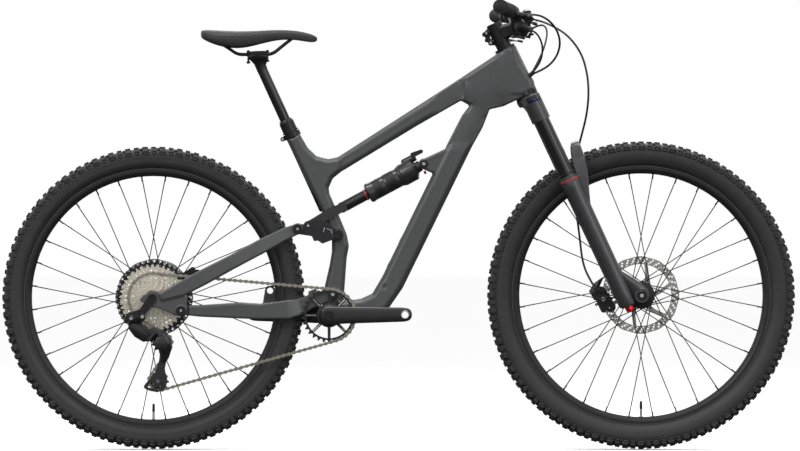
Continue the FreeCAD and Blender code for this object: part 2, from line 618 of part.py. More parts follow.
def make_steerer():
    """Crown with the steerer tube, the stanchions, headset spacers and the stem."""
    sleeves = [leg(SLEEVE_LOW, 508, 21, sign) for sign in (-1, 1)]
    bridge = fork_slab([(497, -17), (497, 27), (512, 27), (CROWN_TOP, 22), (CROWN_TOP, -19)], -43, 43)
    shoulders = [fork_slab([(480, -12), (480, 25), (508, 27), (512, 20), (512, -14)],
                           sign * 40, sign * 66) for sign in (-1, 1)]
    race = rod(steer(CROWN_TOP - 1), steer(525.6), 24)
    tube = fuse([rod(steer(505), steer(541.5), 20), rod(steer(541.5), steer(560), 17, STEERER_R),
                 rod(steer(560), steer(706), STEERER_R)])
    crown = fuse(sleeves + shoulders + [bridge, race, tube])
    stanchions = [leg(190, 508, STANCHION_R, sign).cut(leg(180, 480, STANCHION_R - 2.5, sign))
                  for sign in (-1, 1)]
    fill = [leg(440, 508, STANCHION_R, sign) for sign in (-1, 1)]
    add("crown_steerer", crown.cut(fill))
    add("fork_stanchions", group(stanchions))
    spacers = pipe(steer(652.4), steer(664), 17.5, STEERER_R)
    neck = tube_loft([(232, 960, 19, 16, 0), (262, 970.5, 16, 17, 0)])
    socket = disc(BAR_CLAMP, -22, 22, 20.5)
    body = fuse([pipe(steer(664), steer(709), 18.5, 1), neck, socket,
                 rod(Vec(204, -11, 945), Vec(204, 11, 945), 5),
                 rod(Vec(198, -11, 958), Vec(198, 11, 958), 5),
                 slab([(216, 935), (206, 940), (194, 962), (208, 968)], -8, 8)])
    cap = rod(steer(709.2), steer(713), 17)
    front = slab([(278.5, 940), (310, 940), (310, 1010), (278.5, 1010)], -30, 30)
    bar_room = disc(BAR_CLAMP, -40, 40, BAR_R)
    rear_part = body.cut([rod(steer(600), steer(709), STEERER_R), bar_room, front])
    face = slab([(280, 952), (300, 952), (300, 1000), (280, 1000)], -22, 22)
    faceplate = disc(BAR_CLAMP, -22, 22, 20.5).common(face).cut(bar_room)
    lugs = [rod(Vec(280, sign * 15, z), Vec(289, sign * 15, z), 4.5)
            for sign in (-1, 1) for z in (958.5, 993.5)]
    faceplate = fuse([faceplate] + lugs).cut(bar_room)
    rear_lugs = [rod(Vec(262, sign * 15, z), Vec(278.4, sign * 15, z), 4.5)
                 for sign in (-1, 1) for z in (958.5, 993.5)]
    rear_part = fuse([rear_part] + rear_lugs).cut(bar_room)
    add("stem", group([spacers, rear_part, faceplate, cap]))


def make_fork_lowers():
    """Lower legs with their arch and axle lugs, the axle, the caliper and the rebound knob."""
    legs = []
    for sign in (-1, 1):
        tube = fuse([leg(-9, 60, 18.5, sign, 20), leg(60, 262, 20, sign, 20.6),
                     leg(262, 300, 20.6, sign, 22.5), leg(300, LEG_TOP, 22.5, sign)])
        lug = rounded(flat(steer(10, 10)), FRONT_AXLE, 20, 18, sign * 55.5, sign * 71)
        gusset = fork_slab([(60, 22), (0, 52), (-12, 38), (-10, 10)], sign * 57, sign * 70)
        strut = fork_slab([(255, 20), (300, 40), (350, 56), (386, 62), (388, 44), (340, 34),
                           (306, 18)], sign * 46, sign * 64)
        legs += [tube, lug, gusset, strut]
    arch = fork_slab([(370, 44), (372, 60), (386, 62), (388, 44)], -48, 48)
    post = fork_slab([(70, -10), (66, -50), (54, -54), (30, -50), (22, -30), (20, -10)], 59, 70)
    body = fuse(legs + [arch, post])
    bores = [leg(55, LEG_TOP + 20, STANCHION_R + RUN_GAP, sign) for sign in (-1, 1)]
    room = turned([(0, -40), (FRONT_TYRE_R + 10, -40), (FRONT_TYRE_R + 10, 40), (0, 40)],
                  FRONT_AXLE)
    sides = block((300, -44, 200), (700, 44, 705)).common(room)
    knob_seat = leg(-30, -3, 8.4, -1)
    body = cut(body, bores + [disc(FRONT_AXLE, -80, 80, 7.5), sides, knob_seat])
    add("fork_lowers", max(body.Solids, key=lambda solid: solid.Volume))
    lever = rounded(FRONT_AXLE, shift(FRONT_AXLE, 8, -2), 9, 7, 71.2, 75)
    add("front_axle", fuse([disc(FRONT_AXLE, -72.5, 75, 7.5), lever]))
    add("rebound_knob", fuse([leg(-22, -9.4, 8, -1), leg(-9.5, -3.4, 6, -1)]))
    at = (481.0, 346.0)
    inner = rounded(shift(at, -12, 18), shift(at, 10, -18), 11, 11, 33, 39.2)
    outer = rounded(shift(at, -12, 18), shift(at, 10, -18), 12, 12, 42.8, 58.6)
    spine = rounded(shift(at, -24, 14), shift(at, -6, -24), 7, 7, 33, 58.6)
    spine = spine.cut(turned([(0, 38), (ROTOR_R + 1.5, 38), (ROTOR_R + 1.5, 44), (0, 44)],
                             FRONT_AXLE))
    add("front_caliper", fuse([inner, outer, spine]))


# ---- cockpit ---------------------------------------------------------------------------------


def bar_at(y):
    """A point on the straight outer part of the handlebar's axis."""
    share = (abs(y) - BAR_RISE[1]) / (BAR_END[1] - BAR_RISE[1])
    return Vec(BAR_RISE[0] + (BAR_END[0] - BAR_RISE[0]) * share, y,
               BAR_RISE[2] + (BAR_END[2] - BAR_RISE[2]) * share)


def side_point(x, y, z, sign):
    """A point of the left-hand cockpit, mirrored when the sign is negative."""
    return Vec(x, sign * y, z)


def ball(centre, radius):
    """A sphere round a point."""
    return Part.makeSphere(radius, centre)


def bent_bar(points, radii):
    """Round bars joined by spheres at their corners."""
    pieces = []
    for i in range(len(points) - 1):
        pieces.append(rod(points[i], points[i + 1], radii[i], radii[i + 1]))
    for i in range(1, len(points) - 1):
        pieces.append(ball(points[i], radii[i]))
    return fuse(pieces)


def make_cockpit():
    """Handlebar, grips, brake lever bodies, shift pods and everything the fingers move."""
    half_bars = []
    for sign in (-1, 1):
        route = [Vec(277, 0, 976), side_point(*BAR_BEND, sign), side_point(*BAR_RISE, sign),
                 side_point(*BAR_END, sign)]
        half_bars.append(bent_bar(route, [BAR_R, BAR_R, 12.4, BAR_END_R]))
    bar = fuse(half_bars)
    add("handlebar", bar)
    grips, masters, pods = [], [], []
    for sign in (-1, 1):
        grip = fuse([rod(bar_at(sign * 259), bar_at(sign * 263), 17.5),
                     rod(bar_at(sign * 263), bar_at(sign * 390), GRIP_R)])
        grips.append(grip.cut(bar))
        band = rod(bar_at(sign * 222), bar_at(sign * 234), 15.5)
        arm = rod(bar_at(sign * 228), side_point(292, 226, 990, sign), 7)
        reservoir = rod(side_point(292, 168, 1001, sign), side_point(296, 228, 994, sign), 9.5)
        pivot = side_point(*LEVER_PIVOT, sign)
        cheeks = [rod(pivot + LEVER_AXIS * a, pivot + LEVER_AXIS * b, 8)
                  for a, b in ((-10, -6.4), (6.4, 10))]
        web = rod(side_point(291, 214, 990, sign), pivot + LEVER_AXIS * 8, 5)
        web_low = rod(side_point(289, 214, 986, sign), pivot - LEVER_AXIS * 8, 4)
        pin = rod(pivot - LEVER_AXIS * 10, pivot + LEVER_AXIS * 10, 2.5)
        room = rod(pivot - LEVER_AXIS * 6.4, pivot + LEVER_AXIS * 6.4, 10)
        webs = [bar_piece.cut(room) for bar_piece in (web, web_low, reservoir, arm)]
        masters.append(fuse(webs + cheeks + [band, pin]).cut(bar))
        ring_clamp = rod(bar_at(sign * 176), bar_at(sign * 188), 15)
        pod = fuse([ring_clamp, rod(bar_at(sign * 182), side_point(280, 176, 982, sign), 7),
                    rod(side_point(276, 186, 972, sign), side_point(290, 156, 968, sign), 14)])
        pods.append(pod.cut([bar, reservoir]))
    add("grips", group(grips))
    add("brake_masters", group(masters))
    add("shifter_pods", group([cut_low(pod) for pod in pods]))
    for name, sign in (("brake_blade_right", -1), ("brake_blade_left", 1)):
        pivot = side_point(*LEVER_PIVOT, sign)
        hub = rod(pivot - LEVER_AXIS * 6, pivot + LEVER_AXIS * 6, 7)
        blade = bent_bar([pivot, side_point(311, 256, 979, sign), side_point(306, 300, 977, sign),
                          side_point(311, 334, 974, sign)], [5, 4.6, 4.4, 5])
        bore = rod(pivot - LEVER_AXIS * 8, pivot + LEVER_AXIS * 8, 2.5 + RUN_GAP)
        add(name, fuse([hub, blade, ball(side_point(311, 334, 974, sign), 5)]).cut(bore))
    for name, at, tip, sign in (
            ("shift_lever_main", MAIN_PADDLE_PIVOT, (262, 204, 948), -1),
            ("shift_lever_release", RELEASE_PADDLE_PIVOT, (303, 206, 954), -1),
            ("dropper_lever", MAIN_PADDLE_PIVOT, (262, 210, 950), 1)):
        pivot = side_point(*at, sign)
        end = side_point(*tip, sign)
        hub = rod(pivot, pivot + PADDLE_AXIS * 5, 6.5)
        arm = rod(pivot + PADDLE_AXIS * 2.6, end, 2.4)
        pad = rod(end - PADDLE_AXIS * 6, end + PADDLE_AXIS * 5, 5)
        add(name, fuse([hub, arm, pad]))
    knob = fuse([leg(512.6, 521.5, 14, -1), leg(521.5, 524, 14, -1, 12)])
    add("compression_knob", knob)


def cut_low(pod):
    """Trim a pod level above its paddles."""
    return pod.cut(block((200, -300, 900), (340, 300, 955)))


# ---- wheels ---------------------------------------------------------------------------------
def tyre(centre, outer_r, width):
    """A tyre carcass of revolution: beads inside the rim flanges, side walls and tread band."""
    half = width / 2
    outside = [(291.6, 13.2), (299, 13.4), (305, 22), (316, half - 2), (330, half),
               (outer_r - 9, half - 2), (outer_r - 3, half - 9), (outer_r, half * 0.4)]
    inside = [(outer_r - 6, half * 0.38), (outer_r - 9, half - 13), (328, half - 4),
              (316, half - 6), (306, 18), (300, 9), (291.6, 9)]
    shell = [(r, y) for r, y in outside] + [(r, -y) for r, y in reversed(outside)]
    shell += [(r, -y) for r, y in reversed(inside)] + [(r, y) for r, y in inside]
    return turned(shell, centre)


def rim(centre):
    """A box-section rim with hooked flanges."""
    side = [(RIM_INNER_R, 6), (286, 13), (291, RIM_HALF_WIDTH), (RIM_FLANGE_R, RIM_HALF_WIDTH),
            (RIM_FLANGE_R, 13.8), (291.2, 13.8), (288.5, 8)]
    profile = side + [(r, -y) for r, y in reversed(side)]
    return turned(profile, centre)


def spokes(centre, flange_r, flanges):
    """Three-cross lacing: each side's spokes lean alternately forwards and back."""
    bars = []
    for k in range(SPOKE_COUNT):
        flange_y = flanges[k % 2]
        pair = k // 2
        lean = radians(67.5 if pair % 2 else -67.5)
        rim_angle = 2 * pi * k / SPOKE_COUNT + radians(5.6)
        hub_angle = rim_angle + lean
        y = flange_y + (1.7 if pair % 2 else -1.7)
        start = Vec(centre[0] + flange_r * cos(hub_angle), y, centre[1] + flange_r * sin(hub_angle))
        end = Vec(centre[0] + 284 * cos(rim_angle), (1 if flange_y > 0 else -1) * 2.0,
                  centre[1] + 284 * sin(rim_angle))
        bars.append(rod(start, end, SPOKE_R))
    return group(bars)


def rotor(centre, y, bore):
    """A brake disc: swept ring, leaning arms and a hub carrier."""
    low, high = y - ROTOR_HALF, y + ROTOR_HALF
    pieces = [ring(centre, low, high, ROTOR_R, 74), ring(centre, low, high, 27, bore)]
    for k in range(6):
        angle = 2 * pi * k / 6
        corners = []
        for r, turn in ((25, -0.16), (76, 0.50), (76, 0.60), (25, 0.20)):
            corners.append((centre[0] + r * cos(angle + turn), centre[1] + r * sin(angle + turn)))
        pieces.append(slab(corners, low, high))
    return fuse(pieces)


def make_wheels():
    """Both wheels: tyre, rim, spokes, hub and rotor on their axles."""
    add("front_tyre", tyre(FRONT_AXLE, FRONT_TYRE_R, FRONT_TYRE_WIDTH))
    add("rear_tyre", tyre(REAR_AXLE, REAR_TYRE_R, REAR_TYRE_WIDTH))
    front_hub = [(7.55, -55), (10, -55), (10, -34), (15, -32), (31, -30), (31, -24), (16, -21),
                 (13, 0), (16, 19), (31, 22), (31, 28), (20, 31), (20, 40), (17, 40.1),
                 (17, 42.2), (10, 42.4), (10, 55), (7.55, 55)]
    rear_hub = [(6.05, -74), (9, -74), (9, -69), (15, -69), (15, -24.5), (31, -24.3),
                (31, -18.4), (17, -15), (14, 6), (17, 30), (31, 33), (31, 39), (20, 42),
                (20, 58), (17, 58.1), (17, 60.2), (10, 60.4), (10, 74), (6.05, 74)]
    lacing = (("front", FRONT_AXLE, front_hub, (25, -27)),
              ("rear", REAR_AXLE, rear_hub, (36, -21.3)))
    for name, axle, hub_profile, flanges in lacing:
        add(name + "_rim", rim(axle))
        add(name + "_spokes", spokes(axle, 27.5, flanges))
        add(name + "_hub", turned(hub_profile, axle))
    add("front_rotor", rotor(FRONT_AXLE, ROTOR_FRONT_Y + 0.1, 17))
    add("rear_rotor", rotor(REAR_AXLE, ROTOR_REAR_Y + 0.1, 17))


# ---- drivetrain ------------------------------------------------------------------------------


def pitch_radius(teeth):
    """Radius through the chain pins on a sprocket."""
    return CHAIN_PITCH / (2 * sin(pi / teeth))


def toothed(centre, teeth, y, bore, phase=0.0, half=TOOTH_HALF):
    """A sprocket disc with a plain tooth for every chain link."""
    radius = pitch_radius(teeth)
    corners = []
    for k in range(teeth):
        for share, r in ((0.14, -3.6), (0.38, 2.6), (0.62, 2.6), (0.86, -3.6)):
            angle = phase + 2 * pi * (k + share) / teeth
            corners.append((centre[0] + (radius + r) * cos(angle),
                            centre[1] + (radius + r) * sin(angle)))
    return slab(corners, y - half, y + half).cut(disc(centre, y - 5, y + 5, bore))


def tangent(start, start_r, start_turn, end, end_r, end_turn):
    """Angle of the straight chain run between two sprockets; turn is +1 or -1."""
    dx, dz = end[0] - start[0], end[1] - start[1]
    return atan2(dz, dx) + asin((start_turn * start_r - end_turn * end_r) / hypot(dx, dz))


def chain_frame(wheel, heading):
    """Chain band corners where it leaves or meets a wheel, square to its heading."""
    centre, radius, turn, y = wheel
    out = (turn * sin(heading), -turn * cos(heading))
    corners = []
    for reach, side in ((-1, -1), (1, -1), (1, 1), (-1, 1)):
        r = radius + reach * CHAIN_HALF_HEIGHT
        middle = (CHAIN_INNER + CHAIN_OUTER) / 2
        half = (CHAIN_OUTER - CHAIN_INNER) / 2
        corners.append((centre[0] + r * out[0], y, centre[1] + r * out[1], side * half, middle))
    return corners


def band_wire(wheel, heading, sign):
    """One plate band's section as a closed wire."""
    places = [Vec(x, y + sign * middle + offset, z)
              for x, y, z, offset, middle in chain_frame(wheel, heading)]
    return Part.makePolygon(places + places[:1])


def make_chain():
    """The chain as two plate bands along its whole path round both sprockets and pulleys."""
    pulley_r = pitch_radius(PULLEY_TEETH)
    wheels = [(BOTTOM_BRACKET, pitch_radius(CHAINRING_TEETH), 1, CHAINRING_Y),
              (REAR_AXLE, pitch_radius(CHAIN_COG_TEETH), 1, PULLEY_Y),
              (GUIDE_PULLEY, pulley_r, -1, PULLEY_Y), (TENSION_PULLEY, pulley_r, 1, PULLEY_Y)]
    count = len(wheels)
    headings = [tangent(wheels[i][0], wheels[i][1], wheels[i][2], wheels[(i + 1) % count][0],
                        wheels[(i + 1) % count][1], wheels[(i + 1) % count][2])
                for i in range(count)]
    bands = []
    for sign in (-1, 1):
        pieces = []
        for i in range(count):
            following = (i + 1) % count
            pieces.append(Part.makeLoft([band_wire(wheels[i], headings[i], sign),
                                         band_wire(wheels[following], headings[i], sign)],
                                        True, True))
            turn = wheels[i][2]
            swing = turn * (headings[i] - headings[i - 1])
            swing = degrees(swing % (2 * pi)) * turn
            start = Part.Face(band_wire(wheels[i], headings[i - 1], sign))
            pieces.append(start.revolve(point(wheels[i][0]), Vec(0, -1, 0), swing))
        bands.append(fuse(pieces))
    add("chain", group(bands))


def crank_arm(sign, heading):
    """One crank arm: boss at the spindle, taper to the pedal eye, bored for the pedal."""
    end = (BOTTOM_BRACKET[0] + heading * CRANK_LENGTH, BOTTOM_BRACKET[1] + 2)
    inner, outer = (56, 72) if sign < 0 else (53, 69)
    start_y, end_y = sign * (inner + outer) / 2, sign * 77
    arm = tube_loft([(BOTTOM_BRACKET[0], BOTTOM_BRACKET[1], 19, 8, start_y),
                     (BOTTOM_BRACKET[0] + heading * 60, BOTTOM_BRACKET[1] + 1, 18.6, 7.4,
                      sign * 68),
                     (end[0] - heading * 20, end[1], 16.6, 6.5, end_y),
                     (end[0], end[1], 16.5, 6.5, end_y)])
    eye = disc(end, sign * 70.5, sign * 83.5, PEDAL_END_R)
    boss = disc(BOTTOM_BRACKET, sign * inner, sign * outer, CRANK_BOSS_R)
    return fuse([arm, eye, boss]).cut(disc(end, sign * 60, sign * 95, PEDAL_THREAD_R))


def make_drivetrain():
    """Cassette, chainring, crank arms, chain and the rear derailleur."""
    cogs = []
    for index, teeth in enumerate(COG_TEETH):
        y = SMALL_COG_Y + index * COG_SPACING
        cogs.append(toothed(REAR_AXLE, teeth, y, 15.1 + RUN_GAP))
    carrier = ring(REAR_AXLE, SMALL_COG_Y - 1.5, -26, 18.0, 15 + RUN_GAP)
    add("cassette", fuse([carrier] + cogs))
    ring_body = toothed(BOTTOM_BRACKET, CHAINRING_TEETH, CHAINRING_Y, 50)
    spider = [ring(BOTTOM_BRACKET, CHAINRING_Y - 2, CHAINRING_Y + 2, 23, 15),
              ring(BOTTOM_BRACKET, -55.9, CHAINRING_Y - 2, 20, 15)]
    for k in range(4):
        angle = radians(45 + 90 * k)
        ends = []
        for r, turn in ((20, -0.45), (55, -0.14), (55, 0.14), (20, 0.45)):
            ends.append((BOTTOM_BRACKET[0] + r * cos(angle + turn),
                         BOTTOM_BRACKET[1] + r * sin(angle + turn)))
        spider.append(slab(ends, CHAINRING_Y - 1.6, CHAINRING_Y + 1.6))
    add("chainring", fuse([ring_body] + spider))
    add("crank_spindle", disc(BOTTOM_BRACKET, -71, 69.5, SPINDLE_R))
    add("crank_right", crank_arm(-1, 1).cut(disc(BOTTOM_BRACKET, -71, 71, SPINDLE_R)))
    add("crank_left", crank_arm(1, -1).cut(disc(BOTTOM_BRACKET, -71, 69.5, SPINDLE_R)))
    make_chain()
    make_derailleur()


def link_axis():
    """The parallelogram's hinge direction, square to the link in the side view."""
    dx, dz = KNUCKLE_PIVOT[0] - LINK_PIVOT[0], KNUCKLE_PIVOT[1] - LINK_PIVOT[1]
    length = hypot(dx, dz)
    return Vec(-dz / length, 0, dx / length)


def make_derailleur():
    """The swinging link, the cage knuckle, the cage and its two pulleys."""
    axis = link_axis()
    top, low = point(LINK_PIVOT, LINK_Y), point(KNUCKLE_PIVOT, LINK_Y)
    along = (low - top).normalize()
    pin_top = rod(top - axis * 12, top + axis * 12, 2.5)
    pin_low = rod(low - axis * 12, low + axis * 12, 2.5)
    eyes = [rod(at - axis * 7.6, at + axis * 7.6, 7) for at in (top, low)]
    bar = rod(top + along * 3, low - along * 3, 6.5)
    link = fuse(eyes + [bar])
    add("derailleur_link", link.cut([rod(top - axis * 20, top + axis * 20, 2.5 + RUN_GAP),
                                     rod(low - axis * 20, low + axis * 20, 2.5 + RUN_GAP)]))
    fork_top = [rod(top + axis * a, top + axis * b, 7.5) for a, b in ((-12, -8), (8, 12))]
    back = top - along * 13
    spine = rod(back - axis * 11, back + axis * 11, 4.4)
    joins = [rod(back + axis * s * 9.8, top + axis * s * 9.8, 2.1) for s in (-1, 1)]
    lead = rod(Vec(back.x, -93.3, back.z), Vec(back.x, -76.7, back.z), 3.1)
    hanger = NODES["derailleur_hanger"]
    add("derailleur_hanger", fuse([hanger, pin_top, spine, lead] + fork_top + joins))
    fork_low = [rod(low + axis * a, low + axis * b, 7.5) for a, b in ((-12, -8), (8, 12))]
    front = low + along * 13
    knuckle_spine = rod(front - axis * 11, front + axis * 11, 4)
    knuckle_joins = [rod(front + axis * s * 9.8, low + axis * s * 9.8, 2.1) for s in (-1, 1)]
    barrel = disc(GUIDE_PULLEY, -70, -47.5, 11)
    bolt = disc(GUIDE_PULLEY, -47.6, -31, 3)
    lead_low = rod(front, point(GUIDE_PULLEY, -66), 5)
    add("derailleur_knuckle", fuse([pin_low, knuckle_spine, barrel, bolt, lead_low]
                                   + fork_low + knuckle_joins))
    plates = []
    for y_from, y_to in ((-46.8, -45), (-34, -32.4)):
        plate = rounded(GUIDE_PULLEY, TENSION_PULLEY, 11, 13, y_from, y_to)
        window = rounded(between(GUIDE_PULLEY, TENSION_PULLEY, 0.3),
                         between(GUIDE_PULLEY, TENSION_PULLEY, 0.62), 5, 6, y_from - 1, y_to + 1)
        plates.append(plate.cut(window))
    lower_bolt = disc(TENSION_PULLEY, -48.5, -31, 3)
    tail = [rounded(shift(TENSION_PULLEY, -4, 2), shift(TENSION_PULLEY, -30, -12), 9, 5, a, b)
            for a, b in ((-46.8, -45), (-34, -32.4))]
    tail_pin = disc(shift(TENSION_PULLEY, -30, -12), -46.8, -32.4, 3)
    cage = fuse(plates + tail + [lower_bolt, tail_pin])
    add("derailleur_cage", cage.cut(disc(GUIDE_PULLEY, -60, -20, 3 + RUN_GAP)))
    for name, at in (("guide_pulley", GUIDE_PULLEY), ("tension_pulley", TENSION_PULLEY)):
        wheel = toothed(at, PULLEY_TEETH, PULLEY_Y, 3 + RUN_GAP, half=1.1)
        hub = ring(at, PULLEY_Y - 4, PULLEY_Y + 4, 7, 3 + RUN_GAP)
        add(name, fuse([wheel, hub]))


# ---- cables -----------------------------------------------------------------------------------


def make_cables():
    """Brake hoses and shift housings, each along its own route."""
    add("front_brake_hose", cord(FRONT_HOSE, CABLE_R))
    add("rear_brake_hose", cord(REAR_HOSE, CABLE_R))
    add("shift_cable", cord(SHIFT_CABLE, CABLE_R - 0.3))
    add("dropper_cable", cord(DROPPER_CABLE, CABLE_R - 0.3))


def make_all():
    """Build every piece and write it out."""
    make_frame()
    make_chainstays()
    make_seatstays()
    make_rocker()
    make_shock()
    make_saddle()
    make_steerer()
    make_fork_lowers()
    make_cockpit()
    make_wheels()
    make_drivetrain()
    make_cables()
    os.makedirs("parts", exist_ok=True)
    for name, shape in NODES.items():
        shape.exportStep("parts/%s.step" % name)


make_all()
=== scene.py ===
"""Looks of the trail mountain bike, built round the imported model: row frame, metres."""
import json
import random
from math import asin, atan2, cos, hypot, pi, radians, sin

import bmesh
import bpy
import numpy as np
from mathutils import Matrix, Vector


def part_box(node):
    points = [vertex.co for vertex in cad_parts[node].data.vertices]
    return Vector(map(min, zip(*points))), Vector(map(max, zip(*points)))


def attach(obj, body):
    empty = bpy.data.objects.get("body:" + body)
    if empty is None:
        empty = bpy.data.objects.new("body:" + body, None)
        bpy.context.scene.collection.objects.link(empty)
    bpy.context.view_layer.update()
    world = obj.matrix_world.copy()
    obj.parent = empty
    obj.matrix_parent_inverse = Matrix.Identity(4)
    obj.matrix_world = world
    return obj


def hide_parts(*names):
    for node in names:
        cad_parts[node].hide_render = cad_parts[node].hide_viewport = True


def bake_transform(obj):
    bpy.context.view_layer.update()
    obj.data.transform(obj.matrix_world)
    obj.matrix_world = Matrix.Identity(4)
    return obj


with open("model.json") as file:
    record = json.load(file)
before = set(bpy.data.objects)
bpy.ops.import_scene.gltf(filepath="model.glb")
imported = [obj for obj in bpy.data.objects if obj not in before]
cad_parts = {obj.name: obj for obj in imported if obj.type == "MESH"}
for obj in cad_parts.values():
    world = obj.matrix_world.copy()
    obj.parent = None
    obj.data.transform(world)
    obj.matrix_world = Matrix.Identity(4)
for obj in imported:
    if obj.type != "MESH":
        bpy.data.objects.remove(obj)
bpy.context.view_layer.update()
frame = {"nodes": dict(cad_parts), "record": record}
NODES = frame["nodes"]
JOINTS = {joint["name"]: joint for joint in frame["record"]["behaviour"]["joints"]}
MM = 0.001


# ---- places taken from the frame --------------------------------------------------------------
def joint_place(name):
    """A joint's point in the row frame."""
    return Vector(JOINTS[name]["pos_m"])


def joint_axis(name):
    """A joint's unit axis in the row frame."""
    return Vector(JOINTS[name]["axis"]).normalized()


def middle(node):
    """Middle of a CAD node's box."""
    low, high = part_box(node)
    return (Vector(low) + Vector(high)) / 2


FRONT_AXLE = joint_place("front_wheel_spin")
REAR_AXLE = joint_place("rear_wheel_spin")
CRANK = joint_place("crank_spin")
MAIN_PIVOT = joint_place("chainstay_pivot")
HORST = joint_place("seatstay_pivot")
ROCKER = joint_place("rocker_pivot")
SHOCK = joint_place("shock_pivot")
GUIDE = joint_place("guide_pulley_spin")
TENSION = joint_place("tension_pulley_spin")
STEER_LOW = joint_place("steering")
STEER_UP = joint_axis("steering")
STEER_FRONT = Vector((STEER_UP.z, 0, -STEER_UP.x))
SHOCK_DOWN = -joint_axis("shock_stroke")
SHOCK_ACROSS = Vector((SHOCK_DOWN.z, 0, -SHOCK_DOWN.x))
SEAT_UP = joint_axis("dropper_slide")
SEAT_TOP = Vector((-0.2445, 0, 0.7228))
ACROSS = Vector((0, 1, 0))
LOW_HEADSET_T = 530.0
STANCHION_N = 6.0
STANCHION_Y = 65.0


def steer(t, n=0.0, y=0.0):
    """A point by millimetres up the steering axis, in front of it and to the left."""
    return STEER_LOW + STEER_UP * (t - LOW_HEADSET_T) * MM + STEER_FRONT * n * MM + Vector((0, y * MM, 0))


def shock_at(distance, across=0.0, y=0.0):
    """A point by millimetres down the shock from its frame bolt."""
    return SHOCK + SHOCK_DOWN * distance * MM + SHOCK_ACROSS * across * MM + Vector((0, y * MM, 0))


# ---- materials ----------------------------------------------------------------------------------
def surface(name, colour, rough, metal=0.0, spread=0.12, grain=900.0, bump=0.0, bump_grain=None,
            coat=0.0, rough_spread=0.08, specular=0.5):
    """A principled material whose colour, roughness and fine relief vary with soft noise."""
    mat = bpy.data.materials.new(name)
    mat.use_nodes = True
    nodes, links = mat.node_tree.nodes, mat.node_tree.links
    shader = nodes["Principled BSDF"]
    for socket, value in (("Metallic", metal), ("Coat Weight", coat), ("Coat Roughness", 0.12),
                          ("Specular IOR Level", specular)):
        shader.inputs[socket].default_value = value
    place = nodes.new("ShaderNodeTexCoord")
    noise = nodes.new("ShaderNodeTexNoise")
    noise.inputs["Scale"].default_value = grain * 0.08
    noise.inputs["Detail"].default_value = 6
    links.new(place.outputs["Object"], noise.inputs["Vector"])
    ramp = nodes.new("ShaderNodeValToRGB")
    ramp.color_ramp.elements[0].position = 0.3
    ramp.color_ramp.elements[1].position = 0.7
    ramp.color_ramp.elements[0].color = [c * (1 - spread) for c in colour] + [1]
    ramp.color_ramp.elements[1].color = [min(c * (1 + spread), 1) for c in colour] + [1]
    links.new(noise.outputs["Fac"], ramp.inputs["Fac"])
    links.new(ramp.outputs["Color"], shader.inputs["Base Color"])
    smear = nodes.new("ShaderNodeMapRange")
    smear.inputs["To Min"].default_value = max(rough - rough_spread, 0.02)
    smear.inputs["To Max"].default_value = min(rough + rough_spread, 1.0)
    links.new(noise.outputs["Fac"], smear.inputs["Value"])
    links.new(smear.outputs["Result"], shader.inputs["Roughness"])
    if bump > 0:
        fine = nodes.new("ShaderNodeTexNoise")
        fine.inputs["Scale"].default_value = bump_grain or grain
        fine.inputs["Detail"].default_value = 3
        links.new(place.outputs["Object"], fine.inputs["Vector"])
        relief = nodes.new("ShaderNodeBump")
        relief.inputs["Strength"].default_value = bump
        relief.inputs["Distance"].default_value = 0.0004
        links.new(fine.outputs["Fac"], relief.inputs["Height"])
        links.new(relief.outputs["Normal"], shader.inputs["Normal"])
    return mat


